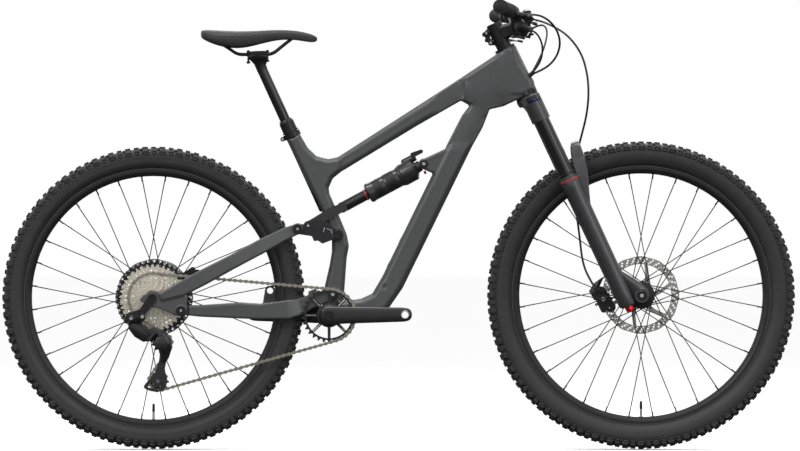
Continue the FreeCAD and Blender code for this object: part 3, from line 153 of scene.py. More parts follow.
LOOKS = {
    "frame_paint": surface("satin_graphite_paint", (0.076, 0.077, 0.079), 0.38, 0.30, 0.05,
                           1400, 0.03, 4200, coat=0.08, rough_spread=0.04, specular=0.35),
    "black_alloy": surface("black_anodised_alloy", (0.012, 0.012, 0.013), 0.36, 0.3, 0.15, 1500, 0.06,
                           specular=0.4),
    "bolt_black": surface("black_steel_bolt", (0.03, 0.03, 0.032), 0.3, 0.8, 0.2, 2500, 0.05),
    "fork_black": surface("satin_black_fork_paint", (0.034, 0.034, 0.037), 0.33, 0.1, 0.08,
                          1400, 0.03, 4000, coat=0.15),
    "stanchion_black": surface("polished_black_tube", (0.014, 0.014, 0.015), 0.13, 0.2, 0.1, 900,
                               coat=0.2, rough_spread=0.03, specular=0.4),
    "grip_rubber": surface("grip_rubber", (0.012, 0.012, 0.013), 0.72, 0, 0.15, 2500, 0.25, specular=0.3),
    "black_plastic": surface("moulded_black_plastic", (0.012, 0.012, 0.013), 0.5, 0, 0.1, 3000, 0.15,
                             specular=0.35),
    "hose_black": surface("hose_sleeve", (0.008, 0.008, 0.009), 0.35, 0, 0.1, 3000, 0.08, specular=0.4),
    "lever_black": surface("satin_lever_alloy", (0.024, 0.024, 0.027), 0.3, 0.7, 0.12, 1800, 0.04),
    "knob_blue": surface("blue_anodised_alloy", (0.02, 0.03, 0.11), 0.3, 0.7, 0.12, 1800),
    "knob_red": surface("red_anodised_alloy", (0.60, 0.012, 0.02), 0.28, 0.7, 0.1, 1800),
    "tyre_rubber": surface("tyre_rubber", (0.034, 0.034, 0.0355), 0.75, 0, 0.22, 700, 0.35, 1700,
                           specular=0.25),
    "rim_black": surface("satin_black_rim", (0.016, 0.016, 0.0168), 0.4, 0.1, 0.12, 1200, 0.04, specular=0.3),
    "spoke_black": surface("black_steel_spoke", (0.010, 0.010, 0.011), 0.35, 0.2, 0.15, 1500, specular=0.3),
    "rotor_steel": surface("ground_rotor_steel", (0.36, 0.355, 0.345), 0.36, 0.9, 0.08, 2200, 0.08),
    "chain_steel": surface("plated_chain_steel", (0.27, 0.255, 0.215), 0.36, 0.85, 0.18, 3500, 0.06),
    "link_black": surface("forged_black_link", (0.013, 0.013, 0.016), 0.34, 0.3, 0.14, 1500, 0.06),
    "shock_black": surface("black_air_can", (0.026, 0.026, 0.028), 0.27, 0.2, 0.12, 1300, 0.03, coat=0.1),
    "cassette_steel": surface("champagne_cog_steel", (0.60, 0.56, 0.47), 0.36, 0.8, 0.12, 2400, 0.08),
    "crank_black": surface("satin_black_crank", (0.014, 0.014, 0.015), 0.32, 0.2, 0.1, 1300, 0.03, coat=0.1),
    "ring_black": surface("black_chainring_alloy", (0.013, 0.013, 0.014), 0.36, 0.3, 0.15, 1800, 0.05),
    "pulley_plastic": surface("pulley_nylon", (0.016, 0.016, 0.017), 0.5, 0, 0.12, 2500, 0.1),
    "saddle_cover": surface("saddle_cover", (0.018, 0.018, 0.0195), 0.55, 0, 0.12, 1600, 0.55, 2600,
                            specular=0.35),
}
DARK_COG = surface("black_large_cog", (0.016, 0.016, 0.018), 0.4, 0.6, 0.15, 1800, 0.05)
RED_SEAL = surface("red_seal_ring", (0.55, 0.02, 0.035), 0.45, 0, 0.1, 2500)
# Pale grey for the two streaks on the derailleur's lower knuckle: painted highlights.
PAINTED_STREAK_GREY = surface("painted_highlight_streak", (0.30, 0.30, 0.31), 0.45, 0, 0.06, 2500)
SKIN_BLACK = surface("smooth_side_rubber", (0.030, 0.030, 0.031), 0.55, 0, 0.12, 500, 0.10, 1500,
                     specular=0.3)
STEEL_BARE = surface("bare_steel", (0.50, 0.50, 0.49), 0.3, 0.9, 0.1, 1800, 0.03)

SLOT_OF = {entry["node"]: entry["material_slot"] for entry in frame["record"]["subparts"]}
for node_name, node_object in NODES.items():
    node_object.data.materials.clear()
    node_object.data.materials.append(LOOKS[SLOT_OF[node_name]])


# ---- mesh building --------------------------------------------------------------------------------
def new_object(name, data):
    """A new object, linked into the scene."""
    obj = bpy.data.objects.new(name, data)
    bpy.context.scene.collection.objects.link(obj)
    return obj


def evaluated_mesh(obj):
    """A new mesh of an object with its modifiers and bevels applied."""
    graph = bpy.context.evaluated_depsgraph_get()
    return bpy.data.meshes.new_from_object(obj.evaluated_get(graph))


class Batch:
    """Gathers simple solids into one mesh."""

    def __init__(self):
        self.verts = []
        self.faces = []
        self.marks = []

    def add(self, verts, faces, matrix=None, mark=0):
        """Append a mesh, moved by a matrix, with a material number."""
        start = len(self.verts)
        self.verts += [matrix @ Vector(v) if matrix else Vector(v) for v in verts]
        self.faces += [tuple(start + i for i in face) for face in faces]
        self.marks += [mark] * len(faces)

    def loft(self, rings, mark=0, caps=True):
        """Skin a row of equal closed rings of points."""
        count = len(rings[0])
        verts = [v for ring in rings for v in ring]
        faces = []
        for i in range(len(rings) - 1):
            for k in range(count):
                a, b = i * count + k, i * count + (k + 1) % count
                faces.append((a, b, b + count, a + count))
        if caps:
            faces.append(tuple(reversed(range(count))))
            faces.append(tuple(range((len(rings) - 1) * count, len(rings) * count)))
        self.add(verts, faces, None, mark)

    def piece(self, name, body, slot, sharp=35.0, stands_for="", materials=None):
        """Make the object, ride it on its body, give it its materials and hide the CAD part it stands for."""
        mesh = bpy.data.meshes.new(name)
        mesh.from_pydata(self.verts, [], self.faces)
        mesh.validate()
        for material in materials or [LOOKS[slot]]:
            mesh.materials.append(material)
        for polygon, mark in zip(mesh.polygons, self.marks):
            polygon.material_index = mark
        tidy = bmesh.new()
        tidy.from_mesh(mesh)
        bmesh.ops.recalc_face_normals(tidy, faces=tidy.faces)
        tidy.to_mesh(mesh)
        tidy.free()
        mesh.shade_smooth()
        mesh.set_sharp_from_angle(angle=radians(sharp))
        obj = new_object(name, mesh)
        if body:
            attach(obj, body)
        if stands_for:
            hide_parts(stands_for)
        return obj


def angles_of(count):
    """Equal steps of angle round a full turn."""
    return [2 * pi * k / count for k in range(count)]


def circle(centre, axis, radius, count):
    """A ring of points round a point, square to an axis."""
    axis = Vector(axis).normalized()
    side = axis.orthogonal().normalized()
    if abs(axis.y) > 0.9:
        side = Vector((1, 0, 0))
    other = axis.cross(side)
    return [Vector(centre) + side * radius * cos(angle) + other * radius * sin(angle)
            for angle in angles_of(count)]


def turned(batch, start, axis, profile, count=32, mark=0):
    """Add a turned piece with flat ends from (distance along, radius) pairs in millimetres."""
    axis = Vector(axis).normalized()
    rings = [circle(start + axis * a * MM, axis, max(r, 0.05) * MM, count) for a, r in profile]
    batch.loft(rings, mark=mark)


def hoop(batch, centre, profile, count, mark=0):
    """Add a ring of revolution about an axle across the bike from (radius, y) pairs, closed."""
    rings = [[centre + Vector((r * cos(angle), y, r * sin(angle))) * MM for r, y in profile]
             for angle in angles_of(count)]
    rings.append(rings[0])
    batch.loft(rings, mark=mark, caps=False)


def block(batch, centre, along, across, up, size, top):
    """Add a block whose top is a little smaller; size is (along, across, up) in millimetres."""
    a, c, h = size[0] * MM / 2, size[1] * MM / 2, size[2] * MM
    verts = []
    for level, share in ((0, 1.0), (0.8, (1 + top) / 2), (1, top)):
        for sa, sc in ((-1, -1), (1, -1), (1, 1), (-1, 1)):
            verts.append(centre + along * a * sa * share + across * c * sc * share + up * h * level)
    faces = [(0, 3, 2, 1), (8, 9, 10, 11)]
    for base in (0, 4):
        for k in range(4):
            n = (k + 1) % 4
            faces.append((base + k, base + n, base + n + 4, base + k + 4))
    batch.add(verts, faces)


def plate_mesh(outlines, half, bevel):
    """Vertices and faces of a flat plate with holes, in the side view; sizes in millimetres."""
    curve = bpy.data.curves.new("outline", "CURVE")
    curve.dimensions = "2D"
    curve.fill_mode = "BOTH"
    curve.extrude = max(half - bevel, 0.01) * MM
    curve.bevel_depth = bevel * MM
    curve.bevel_resolution = 1
    curve.offset = -bevel * MM
    for points in outlines:
        spline = curve.splines.new("POLY")
        spline.points.add(len(points) - 1)
        for target, (x, z) in zip(spline.points, points):
            target.co = (x * MM, z * MM, 0, 1)
        spline.use_cyclic_u = True
    holder = new_object("outline", curve)
    mesh = evaluated_mesh(holder)
    verts = [Vector((v.co.x, -v.co.z, v.co.y)) for v in mesh.vertices]
    faces = [tuple(p.vertices) for p in mesh.polygons]
    bpy.data.objects.remove(holder)
    bpy.data.curves.remove(curve)
    bpy.data.meshes.remove(mesh)
    return verts, faces


def add_plate(batch, outlines, half, bevel, place, mark=0):
    """Add a flat plate with holes at a place in metres."""
    verts, faces = plate_mesh(outlines, half, bevel)
    batch.add(verts, faces, Matrix.Translation(place), mark)


def polar(radius, angle):
    """A point in the side view by radius and angle."""
    return radius * cos(angle), radius * sin(angle)


def outward(angle):
    """The direction away from an axle at an angle."""
    return Vector((cos(angle), 0, sin(angle)))


def arc(radius, start, end, count):
    """Points of an arc in the side view, angles in radians."""
    return [polar(radius, start + (end - start) * k / (count - 1)) for k in range(count)]


def round_hole(centre, radius, count=14):
    """A round hole's outline."""
    return [(centre[0] + radius * cos(angle), centre[1] + radius * sin(angle))
            for angle in angles_of(count)]


def bulge(value, power):
    """A sine or cosine pushed outwards, which turns a circle into a rounded square."""
    return abs(value) ** power * (1 if value > 0 else -1)


def mirrored(points, sign):
    """Points of the left side, or of the right side when sign is -1."""
    return [(x, sign * y, z) for x, y, z in points]


# ---- wheels -------------------------------------------------------------------------------------
TREAD_PITCHES = {"front": 60, "rear": 54}
KNOB_HEIGHT = 5.0
SPOKE_COUNT = 32
FIRST_SPOKE = radians(5.6)
SPOKE_CROSSING = 67.5
FLANGE_RADIUS = 27.5
VALVE_ANGLE = radians(-90)
ROTOR_WAVES = 12
ROTOR_ARMS = 6
ROTOR_BOLT_RADIUS = 22


def tyre(name, axle):
    """A knobbly tyre: a carcass with smooth side walls and rows of separate tread blocks."""
    body, node = name + "_wheel", name + "_tyre"
    low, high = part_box(node)
    outer = (high[2] - low[2]) / 2 / MM
    half = (high[1] - low[1]) / 2 / MM
    crown = outer - KNOB_HEIGHT
    shoulder = crown - 11
    side = [(290.8, 12.2), (299.4, 13.2), (301, 15.6), (303.5, 19.4), (307, 23.2), (308, 23.6),
            (308.6, 23.9), (312, 26.6), (317, half - 4.6), (323, half - 3.3), (330, half - 3.2),
            (shoulder, half - 5.2), (crown - 5, half - 11), (crown - 1.6, half * 0.36),
            (crown, half * 0.14)]
    profile = side + [(r, -y) for r, y in reversed(side)]
    inside = [(r - 2.5, y * 0.86) for r, y in profile]
    batch = Batch()
    hoop(batch, axle, profile + list(reversed(inside)), 168)
    tread = Batch()
    pitches = TREAD_PITCHES[name]
    step = 2 * pi / pitches
    chance = random.Random(7)

    def knob_at(turn, y, lean, size, top=0.86):
        """One tread block at a turn round the tyre, leaning to the side by an angle."""
        radial = outward(turn)
        along = Vector((-sin(turn), 0, cos(turn)))
        up = radial * cos(lean) + ACROSS * sin(lean)
        across = along.cross(up)
        base_r = crown - (crown - shoulder) * (abs(y) / (half - 4)) ** 2.6
        centre = axle + radial * (base_r - 0.9) * MM + Vector((0, y * MM, 0))
        block(tread, centre, along, across, up, size, top)

    for k in range(pitches):
        angle = step * k
        for sign in (-1, 1):
            skew = step * (0.04 if sign > 0 else -0.04) + step * chance.uniform(-0.015, 0.015)
            knob_at(angle + skew, sign * 5.2, 0.02 * sign, (10.5, 7.6, 5.4))
            knob_at(angle + step * 0.5 + skew, sign * 9.6, 0.08 * sign, (9.0, 8.2, 5.4))
            knob_at(angle + step * 0.5 + skew, sign * 2.0, 0.0, (5.0, 3.2, 4.9))
            knob_at(angle + step * 0.22 + skew, sign * 16.6, 0.26 * sign, (8.4, 6.0, 5.0))
            for share, long_size, tall in ((0.0, 14.5, 13.0), (0.5, 11.0, 10.5)):
                turn = angle + step * share + skew
                knob_at(turn, sign * (half - 8.2), 0.66 * sign, (long_size, tall, 6.4), 0.8)
                knob_at(turn, sign * (half - 4.2), 1.05 * sign, (long_size * 0.72, 7.5, 3.0), 0.72)
                knob_at(turn + step * 0.25, sign * (half - 3.8), 1.2 * sign, (3.0, 9.0, 1.5), 0.7)
    batch.piece(name + "_carcass", body, "tyre_rubber", 50, node, materials=[SKIN_BLACK])
    tread.piece(name + "_tread", body, "tyre_rubber", 25, node)


def lacing_points():
    """The angles of the rim ends of the spokes, with the side each leans to."""
    return [(2 * pi * k / SPOKE_COUNT + FIRST_SPOKE, -1 if k % 2 else 1) for k in range(SPOKE_COUNT)]


def spokes(name, axle):
    """Butted spokes from the hub flanges to the rim, crossing as they are laced."""
    body, node = name + "_wheel", name + "_spokes"
    low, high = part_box(node)
    flange = {1: high[1] / MM - 3.6, -1: low[1] / MM + 3.6}
    batch = Batch()
    for k, (angle, side) in enumerate(lacing_points()):
        pair = k // 2
        hub_angle = angle + radians(SPOKE_CROSSING if pair % 2 else -SPOKE_CROSSING)
        y = flange[side] + (1.7 if pair % 2 else -1.7)
        start = axle + Vector((FLANGE_RADIUS * cos(hub_angle), y, FLANGE_RADIUS * sin(hub_angle))) * MM
        end = axle + Vector((281 * cos(angle), 2.0 * side, 281 * sin(angle))) * MM
        long = (end - start).length / MM
        turned(batch, start, end - start, [(0, 1.25), (30, 1.25), (36, 1.1), (long - 40, 1.1),
                                           (long - 34, 1.25), (long, 1.25)], 10)
    batch.piece(name + "_spoke_set", body, "spoke_black", 40, node)


def wheel_details(name, axle):
    """Spoke nipples, a thin ring of painted highlight on the rim's edge and the valve stem."""
    body = name + "_wheel"
    batch = Batch()
    for angle, sign in lacing_points():
        out = outward(angle)
        foot = axle + out * 281.5 * MM + Vector((0, sign * 2.1 * MM, 0))
        lean = (-out + Vector((0, sign * 0.085, 0))).normalized()
        turned(batch, foot, lean, [(-1, 2.2), (1.5, 2.2), (2.5, 1.8), (11, 1.7), (12, 1.25)], 10)
    batch.piece(name + "_nipples", body, "spoke_black")
    # A thin ring in the frame's lighter paint: a painted highlight along the rim's edge.
    edge = Batch()
    for sign in (-1, 1):
        hoop(edge, axle, [(297.6, sign * 15.6), (299.0, sign * 15.6), (299.0, sign * 16.5),
                          (297.6, sign * 16.5)], 144)
    edge.piece(name + "_rim_painted_highlight", body, "rim_black", materials=[LOOKS["frame_paint"]])
    valve = Batch()
    out = outward(VALVE_ANGLE)
    turned(valve, axle + out * 283 * MM, -out, [(0, 4.6), (3.5, 4.6), (4, 3.1), (22, 3.1)], 18)
    turned(valve, axle + out * 263 * MM, -out, [(0, 3.0), (1, 3.4), (15, 3.1), (18, 2.4), (19, 1)], 18, 1)
    valve.piece(name + "_valve", body, "black_alloy",
                materials=[LOOKS["rotor_steel"], LOOKS["black_plastic"]])


def rotor(name, axle):
    """A disc with a wavy outer edge, rows of drilled holes and six leaning arms."""
    body, node, name = name + "_wheel", name + "_rotor", name + "_disc"
    low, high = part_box(node)
    y = (low[1] + high[1]) / 2
    outer = [polar(89.3 + 0.7 * cos(ROTOR_WAVES * angle), angle) for angle in angles_of(180)]
    holes = []
    for angle in angles_of(ROTOR_WAVES * 3):
        for row, (radius, size) in enumerate(((84.5, 2.1), (79.6, 2.3), (75.4, 1.5))):
            holes.append(round_hole(polar(radius, angle + row * 0.045), size, 12))
    windows = []
    step = 2 * pi / ROTOR_ARMS
    twist = 0.34
    for angle in angles_of(ROTOR_ARMS):
        windows.append(arc(71.5, angle + twist + 0.06, angle + twist + step - 0.06, 14)
                       + [polar(48, angle + step - 0.10 + twist * 0.55)]
                       + arc(29, angle + step - 0.22, angle + 0.22, 8)
                       + [polar(48, angle + 0.10 + twist * 0.55)])
    bolts = [round_hole(polar(ROTOR_BOLT_RADIUS, angle), 2.0, 10) for angle in angles_of(6)]
    batch = Batch()
    add_plate(batch, [outer] + holes + windows + bolts + [round_hole((0, 0), 17.2, 40)], 0.9, 0.12,
              (axle.x, y, axle.z))
    batch.piece(name, body, "rotor_steel", 30, node)
    heads = Batch()
    for angle in angles_of(6):
        foot = Vector((axle.x, y + 0.9 * MM, axle.z)) + outward(angle) * ROTOR_BOLT_RADIUS * MM
        turned(heads, foot, ACROSS, [(0, 3.6), (1.4, 3.6), (2.0, 3.0), (2.0, 1.6), (1.0, 1.5)], 16)
    heads.piece(name + "_bolts", body, "bolt_black")


def make_wheels():
    """Tyres, spokes, nipples, valves and rotors of both wheels."""
    for make in (tyre, spokes, wheel_details, rotor):
        make("front", FRONT_AXLE)
        make("rear", REAR_AXLE)


# ---- drivetrain -----------------------------------------------------------------------------------
PITCH = 12.7
COG_TEETH = (11, 13, 15, 17, 19, 21, 24, 28, 32, 37, 42)
COG_STEP = 3.9
SMALL_COG_Y = -66.0
CHAIN_COG = 28
RING_TEETH = 30
RING_ARMS = 8
PULLEY_TEETH = 11
RING_Y = -50.0
PULLEY_Y = SMALL_COG_Y + COG_TEETH.index(CHAIN_COG) * COG_STEP


def pitch_radius(teeth):
    """Radius through the chain pins on a sprocket, in millimetres."""
    return PITCH / (2 * sin(pi / teeth))


def teeth_outline(teeth, phase=0.0, tip=3.4, valley=3.9):
    """A sprocket's outline: round roller seats between curved teeth."""
    radius = pitch_radius(teeth)
    points = []
    for k in range(teeth):
        for share, reach in ((0.0, -valley), (0.14, -valley * 0.86), (0.27, -0.9), (0.37, 1.6),
                             (0.45, tip), (0.55, tip), (0.63, 1.6), (0.73, -0.9), (0.86, -valley * 0.86)):
            angle = phase + 2 * pi * (k + share) / teeth
            points.append(polar(radius + reach, angle))
    return points


def make_cassette():
    """Eleven cogs with lightening holes; the largest is black."""
    batch = Batch()
    for index, teeth in enumerate(COG_TEETH):
        y = SMALL_COG_Y + index * COG_STEP
        radius = pitch_radius(teeth)
        inner = 14.5 if index == 0 else max(pitch_radius(COG_TEETH[index - 1]) - 9, 15)
        outlines = [teeth_outline(teeth, 0.11 * index), round_hole((0, 0), inner, 60)]
        room = radius - 4.5 - inner
        if room > 5.5:
            count = max(int(2 * pi * (inner + room / 2) / 9.0), 8)
            for k in range(count):
                angle = 2 * pi * (k + 0.5 * (index % 2)) / count
                size = min(room * 0.27, 2.3)
                outlines.append(round_hole(polar(inner + room * 0.58, angle), size, 10))
        mark = 1 if index == len(COG_TEETH) - 1 else 0
        add_plate(batch, outlines, 0.8, 0.15, (REAR_AXLE.x, y * MM, REAR_AXLE.z), mark)
        if index:
            before = pitch_radius(COG_TEETH[index - 1])
            low_y, high_y = y - COG_STEP + 0.7, y - 0.7
            hoop(batch, REAR_AXLE, [(before - 6.2, low_y), (before - 6.2, high_y),
                                    (before - 8.6, high_y), (before - 8.6, low_y)], 72, mark)
    turned(batch, Vector((REAR_AXLE.x, -69.4 * MM, REAR_AXLE.z)), ACROSS,
           [(0, 9.4), (0, 16.6), (1.2, 17.6), (2.6, 17.8), (42, 17.8)], 48, 1)
    batch.piece("cassette_cogs", "cassette", "cassette_steel", 30, "cassette",
                materials=[LOOKS["cassette_steel"], DARK_COG])


def make_chainring():
    """The toothed ring with its windows, hub and painted highlights along the arm edges, behind the right
    crank arm.
    """
    radius = pitch_radius(RING_TEETH)
    windows = []
    half_angle = radians(19.0)
    for step in angles_of(RING_ARMS):
        angle = step + radians(22.5)
        windows.append(arc(52.5, angle - half_angle, angle + half_angle, 10)
                       + arc(27, angle + half_angle * 0.78, angle - half_angle * 0.78, 6))
    outline = [teeth_outline(RING_TEETH, 0.0, 3.2, 3.9)] + windows + [round_hole((0, 0), 15.4, 40)]
    batch = Batch()
    add_plate(batch, outline, 0.85, 0.15, (CRANK.x, RING_Y * MM, CRANK.z))
    hoop(batch, CRANK, [(28, -51.8), (28, -48.2), (15.4, -48.2), (15.4, -55.8), (21, -55.8), (24, -52.6)], 60)
    hoop(batch, CRANK, [(radius - 8.0, -51.2), (radius - 8.0, -48.8), (radius - 5.6, -48.8),
                        (radius - 5.6, -51.2)], 90)
    # Bare-steel lines along each arm: painted highlights on the arm edges.
    for angle in angles_of(RING_ARMS):
        out = outward(angle)
        edge = [CRANK / MM + out * reach + Vector((0, -50.9, 0)) for reach in (30, 40, 52)]
        swept(batch, edge, [0.7, 0.6, 0.8], 8, 1)
    batch.piece("chainring_plate", "crank", "ring_black", 30, "chainring",
                materials=[LOOKS["ring_black"], STEEL_BARE])


def tangent(start, start_r, start_turn, end, end_r, end_turn):
    """Heading of the straight chain run between two wheels; turn is +1 or -1."""
    dx, dz = end[0] - start[0], end[1] - start[1]
    return atan2(dz, dx) + asin((start_turn * start_r - end_turn * end_r) / hypot(dx, dz))


def chain_stretches():
    """The chain's path in millimetres: (stretch number, point) pairs about a millimetre apart."""
    pulley_r = pitch_radius(PULLEY_TEETH)
    wheels = []
    for place, radius, turn, y in ((CRANK, pitch_radius(RING_TEETH), 1, RING_Y),
                                   (REAR_AXLE, pitch_radius(CHAIN_COG), 1, PULLEY_Y),
                                   (GUIDE, pulley_r, -1, PULLEY_Y), (TENSION, pulley_r, 1, PULLEY_Y)):
        wheels.append(((place.x / MM, place.z / MM), radius, turn, y))
    count = len(wheels)
    headings = []
    for i in range(count):
        a, b = wheels[i], wheels[(i + 1) % count]
        headings.append(tangent(a[0], a[1], a[2], b[0], b[1], b[2]))
    points = []
    for i in range(count):
        centre, radius, turn, y = wheels[i]
        swing = (turn * (headings[i] - headings[i - 1])) % (2 * pi)
        steps = max(int(radius * swing), 4)
        for k in range(steps + 1):
            heading = headings[i - 1] + turn * swing * k / steps
            points.append((i * 2, Vector((centre[0] + turn * radius * sin(heading), y,
                                          centre[1] - turn * radius * cos(heading)))))
        after = wheels[(i + 1) % count]
        first = points[-1][1]
        last = Vector((after[0][0] + after[2] * after[1] * sin(headings[i]), after[3],
                       after[0][1] - after[2] * after[1] * cos(headings[i])))
        steps = int((last - first).length)
        for k in range(1, steps):
            points.append((i * 2 + 1, first.lerp(last, k / steps)))
    return points


def chain_pins():
    """Pin places one pitch apart round the whole loop, with the stretch each is on."""
    points = chain_stretches()
    places = [p for _, p in points]
    lengths = [0.0]
    for a, b in zip(places, places[1:] + places[:1]):
        lengths.append(lengths[-1] + (b - a).length)
    total = lengths[-1]
    links = int(round(total / PITCH / 2) * 2)
    pins = []
    i = 0
    for k in range(links):
        want = total * k / links
        while lengths[i + 1] < want:
            i += 1
        share = (want - lengths[i]) / max(lengths[i + 1] - lengths[i], 1e-6)
        pins.append((points[i][0], places[i].lerp(places[(i + 1) % len(places)], share)))
    return pins


def link_outline():
    """A figure-of-eight side plate between two pins, one pitch long."""
    end = 4.15
    waist = 2.2
    points = [polar(end, radians(50 + 260 * k / 12)) for k in range(13)]
    points.append((PITCH / 2, -waist))
    points += [(PITCH + end * cos(a), end * sin(a))
               for a in [radians(230 + 260 * k / 12) for k in range(13)]]
    points.append((PITCH / 2, waist))
    return points


STRETCH_NAMES = ("ring", "top", "cog", "cog", "cage", "cage", "cage", "low")


def make_chain():
    """Side plates, rollers and pins; the stretches on the ring, the cog and the cage ride on those bodies,
    the top and low stretches on none.
    """
    pins = chain_pins()
    outer_verts, outer_faces = plate_mesh([link_outline()], 0.42, 0.12)
    groups = {}
    for k, (stretch, place) in enumerate(pins):
        following = pins[(k + 1) % len(pins)][1]
        batch = groups.setdefault(STRETCH_NAMES[stretch], Batch())
        along = (following - place).normalized()
        side = (ACROSS - along * ACROSS.dot(along)).normalized()
        up = along.cross(side)
        matrix = Matrix.Translation(place * MM) @ Matrix((along, side, -up)).transposed().to_4x4()
        offset = 2.28 if k % 2 else 1.42
        for sign in (-1, 1):
            batch.add(outer_verts, outer_faces, matrix @ Matrix.Translation((0, sign * offset * MM, 0)))
        turned(batch, place * MM - side * 2.72 * MM, side,
               [(0, 1.6), (0.3, 1.9), (5.1, 1.9), (5.44, 1.6)], 10)
        turned(batch, place * MM - side * 1.1 * MM, side, [(0, 3.8), (2.2, 3.8)], 12)
    rides = {"ring": "frame", "cog": "seatstays", "cage": "derailleur_cage"}
    for name, batch in groups.items():
        obj = batch.piece("chain_" + name, rides.get(name), "chain_steel", 30, "chain")
        if name in ("top", "low"):
            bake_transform(obj)


def make_pulleys():
    """The two jockey wheels with their teeth and windows."""
    for node, place in (("guide_pulley", GUIDE), ("tension_pulley", TENSION)):
        outlines = [teeth_outline(PULLEY_TEETH, 0.2, 2.8, 3.8), round_hole((0, 0), 3.1, 20)]
        outlines += [round_hole(polar(11.5, angle), 3.0) for angle in angles_of(5)]
        batch = Batch()
        add_plate(batch, outlines, 1.0, 0.2, (place.x, PULLEY_Y * MM, place.z))
        hoop(batch, place, [(7, PULLEY_Y - 3.6), (7, PULLEY_Y + 3.6), (3.1, PULLEY_Y + 3.6),
                            (3.1, PULLEY_Y - 3.6)], 32)
        batch.piece(node + "_wheel", node, "pulley_plastic", 30, node)


# ---- cables ---------------------------------------------------------------------------------------
CABLES = {
    "front_brake_hose": (((296, 150, 1000), (320, 122, 996), (352, 98, 984), (392, 80, 960),
                          (424, 68, 918), (438, 60, 868), (441, 58, 820), (436, 64, 772),
                          (424, 76, 724), (411, 89, 676), (404, 95, 628), (407, 94, 580),
                          (415, 90, 532), (421, 84, 484), (426, 76, 436), (438, 64, 400),
                          (457, 50, 370)), 2.5),
    "rear_brake_hose": (((296, -150, 1000), (318, -124, 1002), (345, -96, 990), (366, -66, 966),
                         (374, -38, 934), (362, -18, 900), (334, -12, 876), (306, -10, 866)), 2.5),
    "shift_cable": (((292, -140, 966), (306, -122, 966), (322, -100, 954), (332, -74, 930),
                     (330, -48, 902), (318, -28, 880), (306, -20, 866)), 2.2),
    "dropper_cable": (((292, 140, 966), (318, 120, 980), (338, 94, 984), (346, 66, 966),
                       (338, 38, 930), (322, 18, 894), (306, 6, 866)), 2.2),
}


def make_cable(name, points, radius):
    """A round cable as a mesh, from one NURBS spline through its route in millimetres."""
    curve = bpy.data.curves.new(name, "CURVE")
    curve.dimensions = "3D"
    curve.bevel_depth = radius * MM
    curve.bevel_resolution = 4
    curve.resolution_u = 10
    curve.use_fill_caps = True
    spline = curve.splines.new("NURBS")
    spline.points.add(len(points) - 1)
    for target, place in zip(spline.points, points):
        target.co = (place[0] * MM, place[1] * MM, place[2] * MM, 1)
    spline.order_u = 3
    spline.use_endpoint_u = True
    curve.materials.append(LOOKS["hose_black"])
    holder = new_object(name, curve)
    mesh = evaluated_mesh(holder)
    bpy.data.objects.remove(holder)
    mesh.name = name
    mesh.shade_smooth()
    piece = new_object(name, mesh)
    return piece


def make_cables():
    """Brake hoses and shift housings, as fixed meshes in place of the CAD cables."""
    for node, (route, radius) in CABLES.items():
        piece = make_cable(node + "_line", route, radius)
        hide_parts(node)
        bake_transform(piece)


# ---- saddle, post and grips --------------------------------------------------------------------
def smooth_piece(obj):
    """Subdivide a piece's mesh for good, in place."""
    modifier = obj.modifiers.new("round", "SUBSURF")
    modifier.levels = modifier.render_levels = 2
    mesh = evaluated_mesh(obj)
    obj.modifiers.clear()
    old = obj.data
    obj.data = mesh
    bpy.data.meshes.remove(old)
    mesh.shade_smooth()


SADDLE_ROWS = (
    # x, half width, top, side drop, skirt, dip of the middle channel
    (-457, 40, 966.5, 958, 951, 1.0), (-449, 57, 968.2, 955, 946, 2.5),
    (-432, 68, 968.5, 951, 938, 4.0), (-405, 70.5, 966.8, 947, 930, 5.0),
    (-375, 62, 965.6, 947, 926.5, 5.0), (-345, 47, 965.6, 950, 930, 4.6),
    (-312, 34, 967.4, 953, 939, 4.2), (-275, 25.5, 969.2, 957, 947, 3.6),
    (-238, 20.5, 967.6, 955, 946.5, 2.4), (-208, 17.5, 961.6, 948, 940.5, 1.0),
    (-193, 12, 955.5, 946, 940.5, 0.2), (-187.5, 5, 951.0, 947, 944.5, 0))


def make_saddle():
    """Cover with a pressure channel, the shell underneath and a seam of stitches on each side."""
    batch = Batch()
    rings = []
    for x, half, top, side, skirt, dip in SADDLE_ROWS:
        flank = [(share, side + (top - side) * lift)
                 for share, lift in ((1.0, 0), (0.93, 0.55), (0.72, 0.9), (0.42, 1.0), (0.2, 1.0))]
        under = [(0.97, skirt), (0.86, skirt - 0.5), (0.80, skirt + 5), (0.30, side + 2)]
        ring = ([(-share, z) for share, z in flank] + [(-0.08, top - dip), (0.08, top - dip)]
                + flank[::-1] + under + [(-share, z) for share, z in under[::-1]])
        rings.append([Vector((x, half * share, z)) * MM for share, z in ring])
    batch.loft(rings)
    saddle = batch.piece("saddle_shell_cover", "dropper", "saddle_cover", 60, "saddle")
    smooth_piece(saddle)
    seams = Batch()
    for sign in (-1, 1):
        last = None
        for x, half, top, side, skirt, dip in SADDLE_ROWS[1:10]:
            here = Vector((x, sign * half * 0.955, side + (top - side) * 0.28)) * MM
            if last is not None:
                length = (here - last).length
                steps = max(int(length / 0.0035), 1)
                for k in range(steps):
                    a = last.lerp(here, (k + 0.15) / steps)
                    b = last.lerp(here, (k + 0.75) / steps)
                    seams.loft([circle(a, b - a, 0.0004, 6), circle(b, b - a, 0.0004, 6)])
            last = here
    seams.piece("saddle_stitches", "dropper", "saddle_cover", materials=[LOOKS["grip_rubber"]])


def seat_line(t):
    """A point by millimetres up the seat tube's line from its top."""
    return SEAT_TOP + SEAT_UP * t * MM


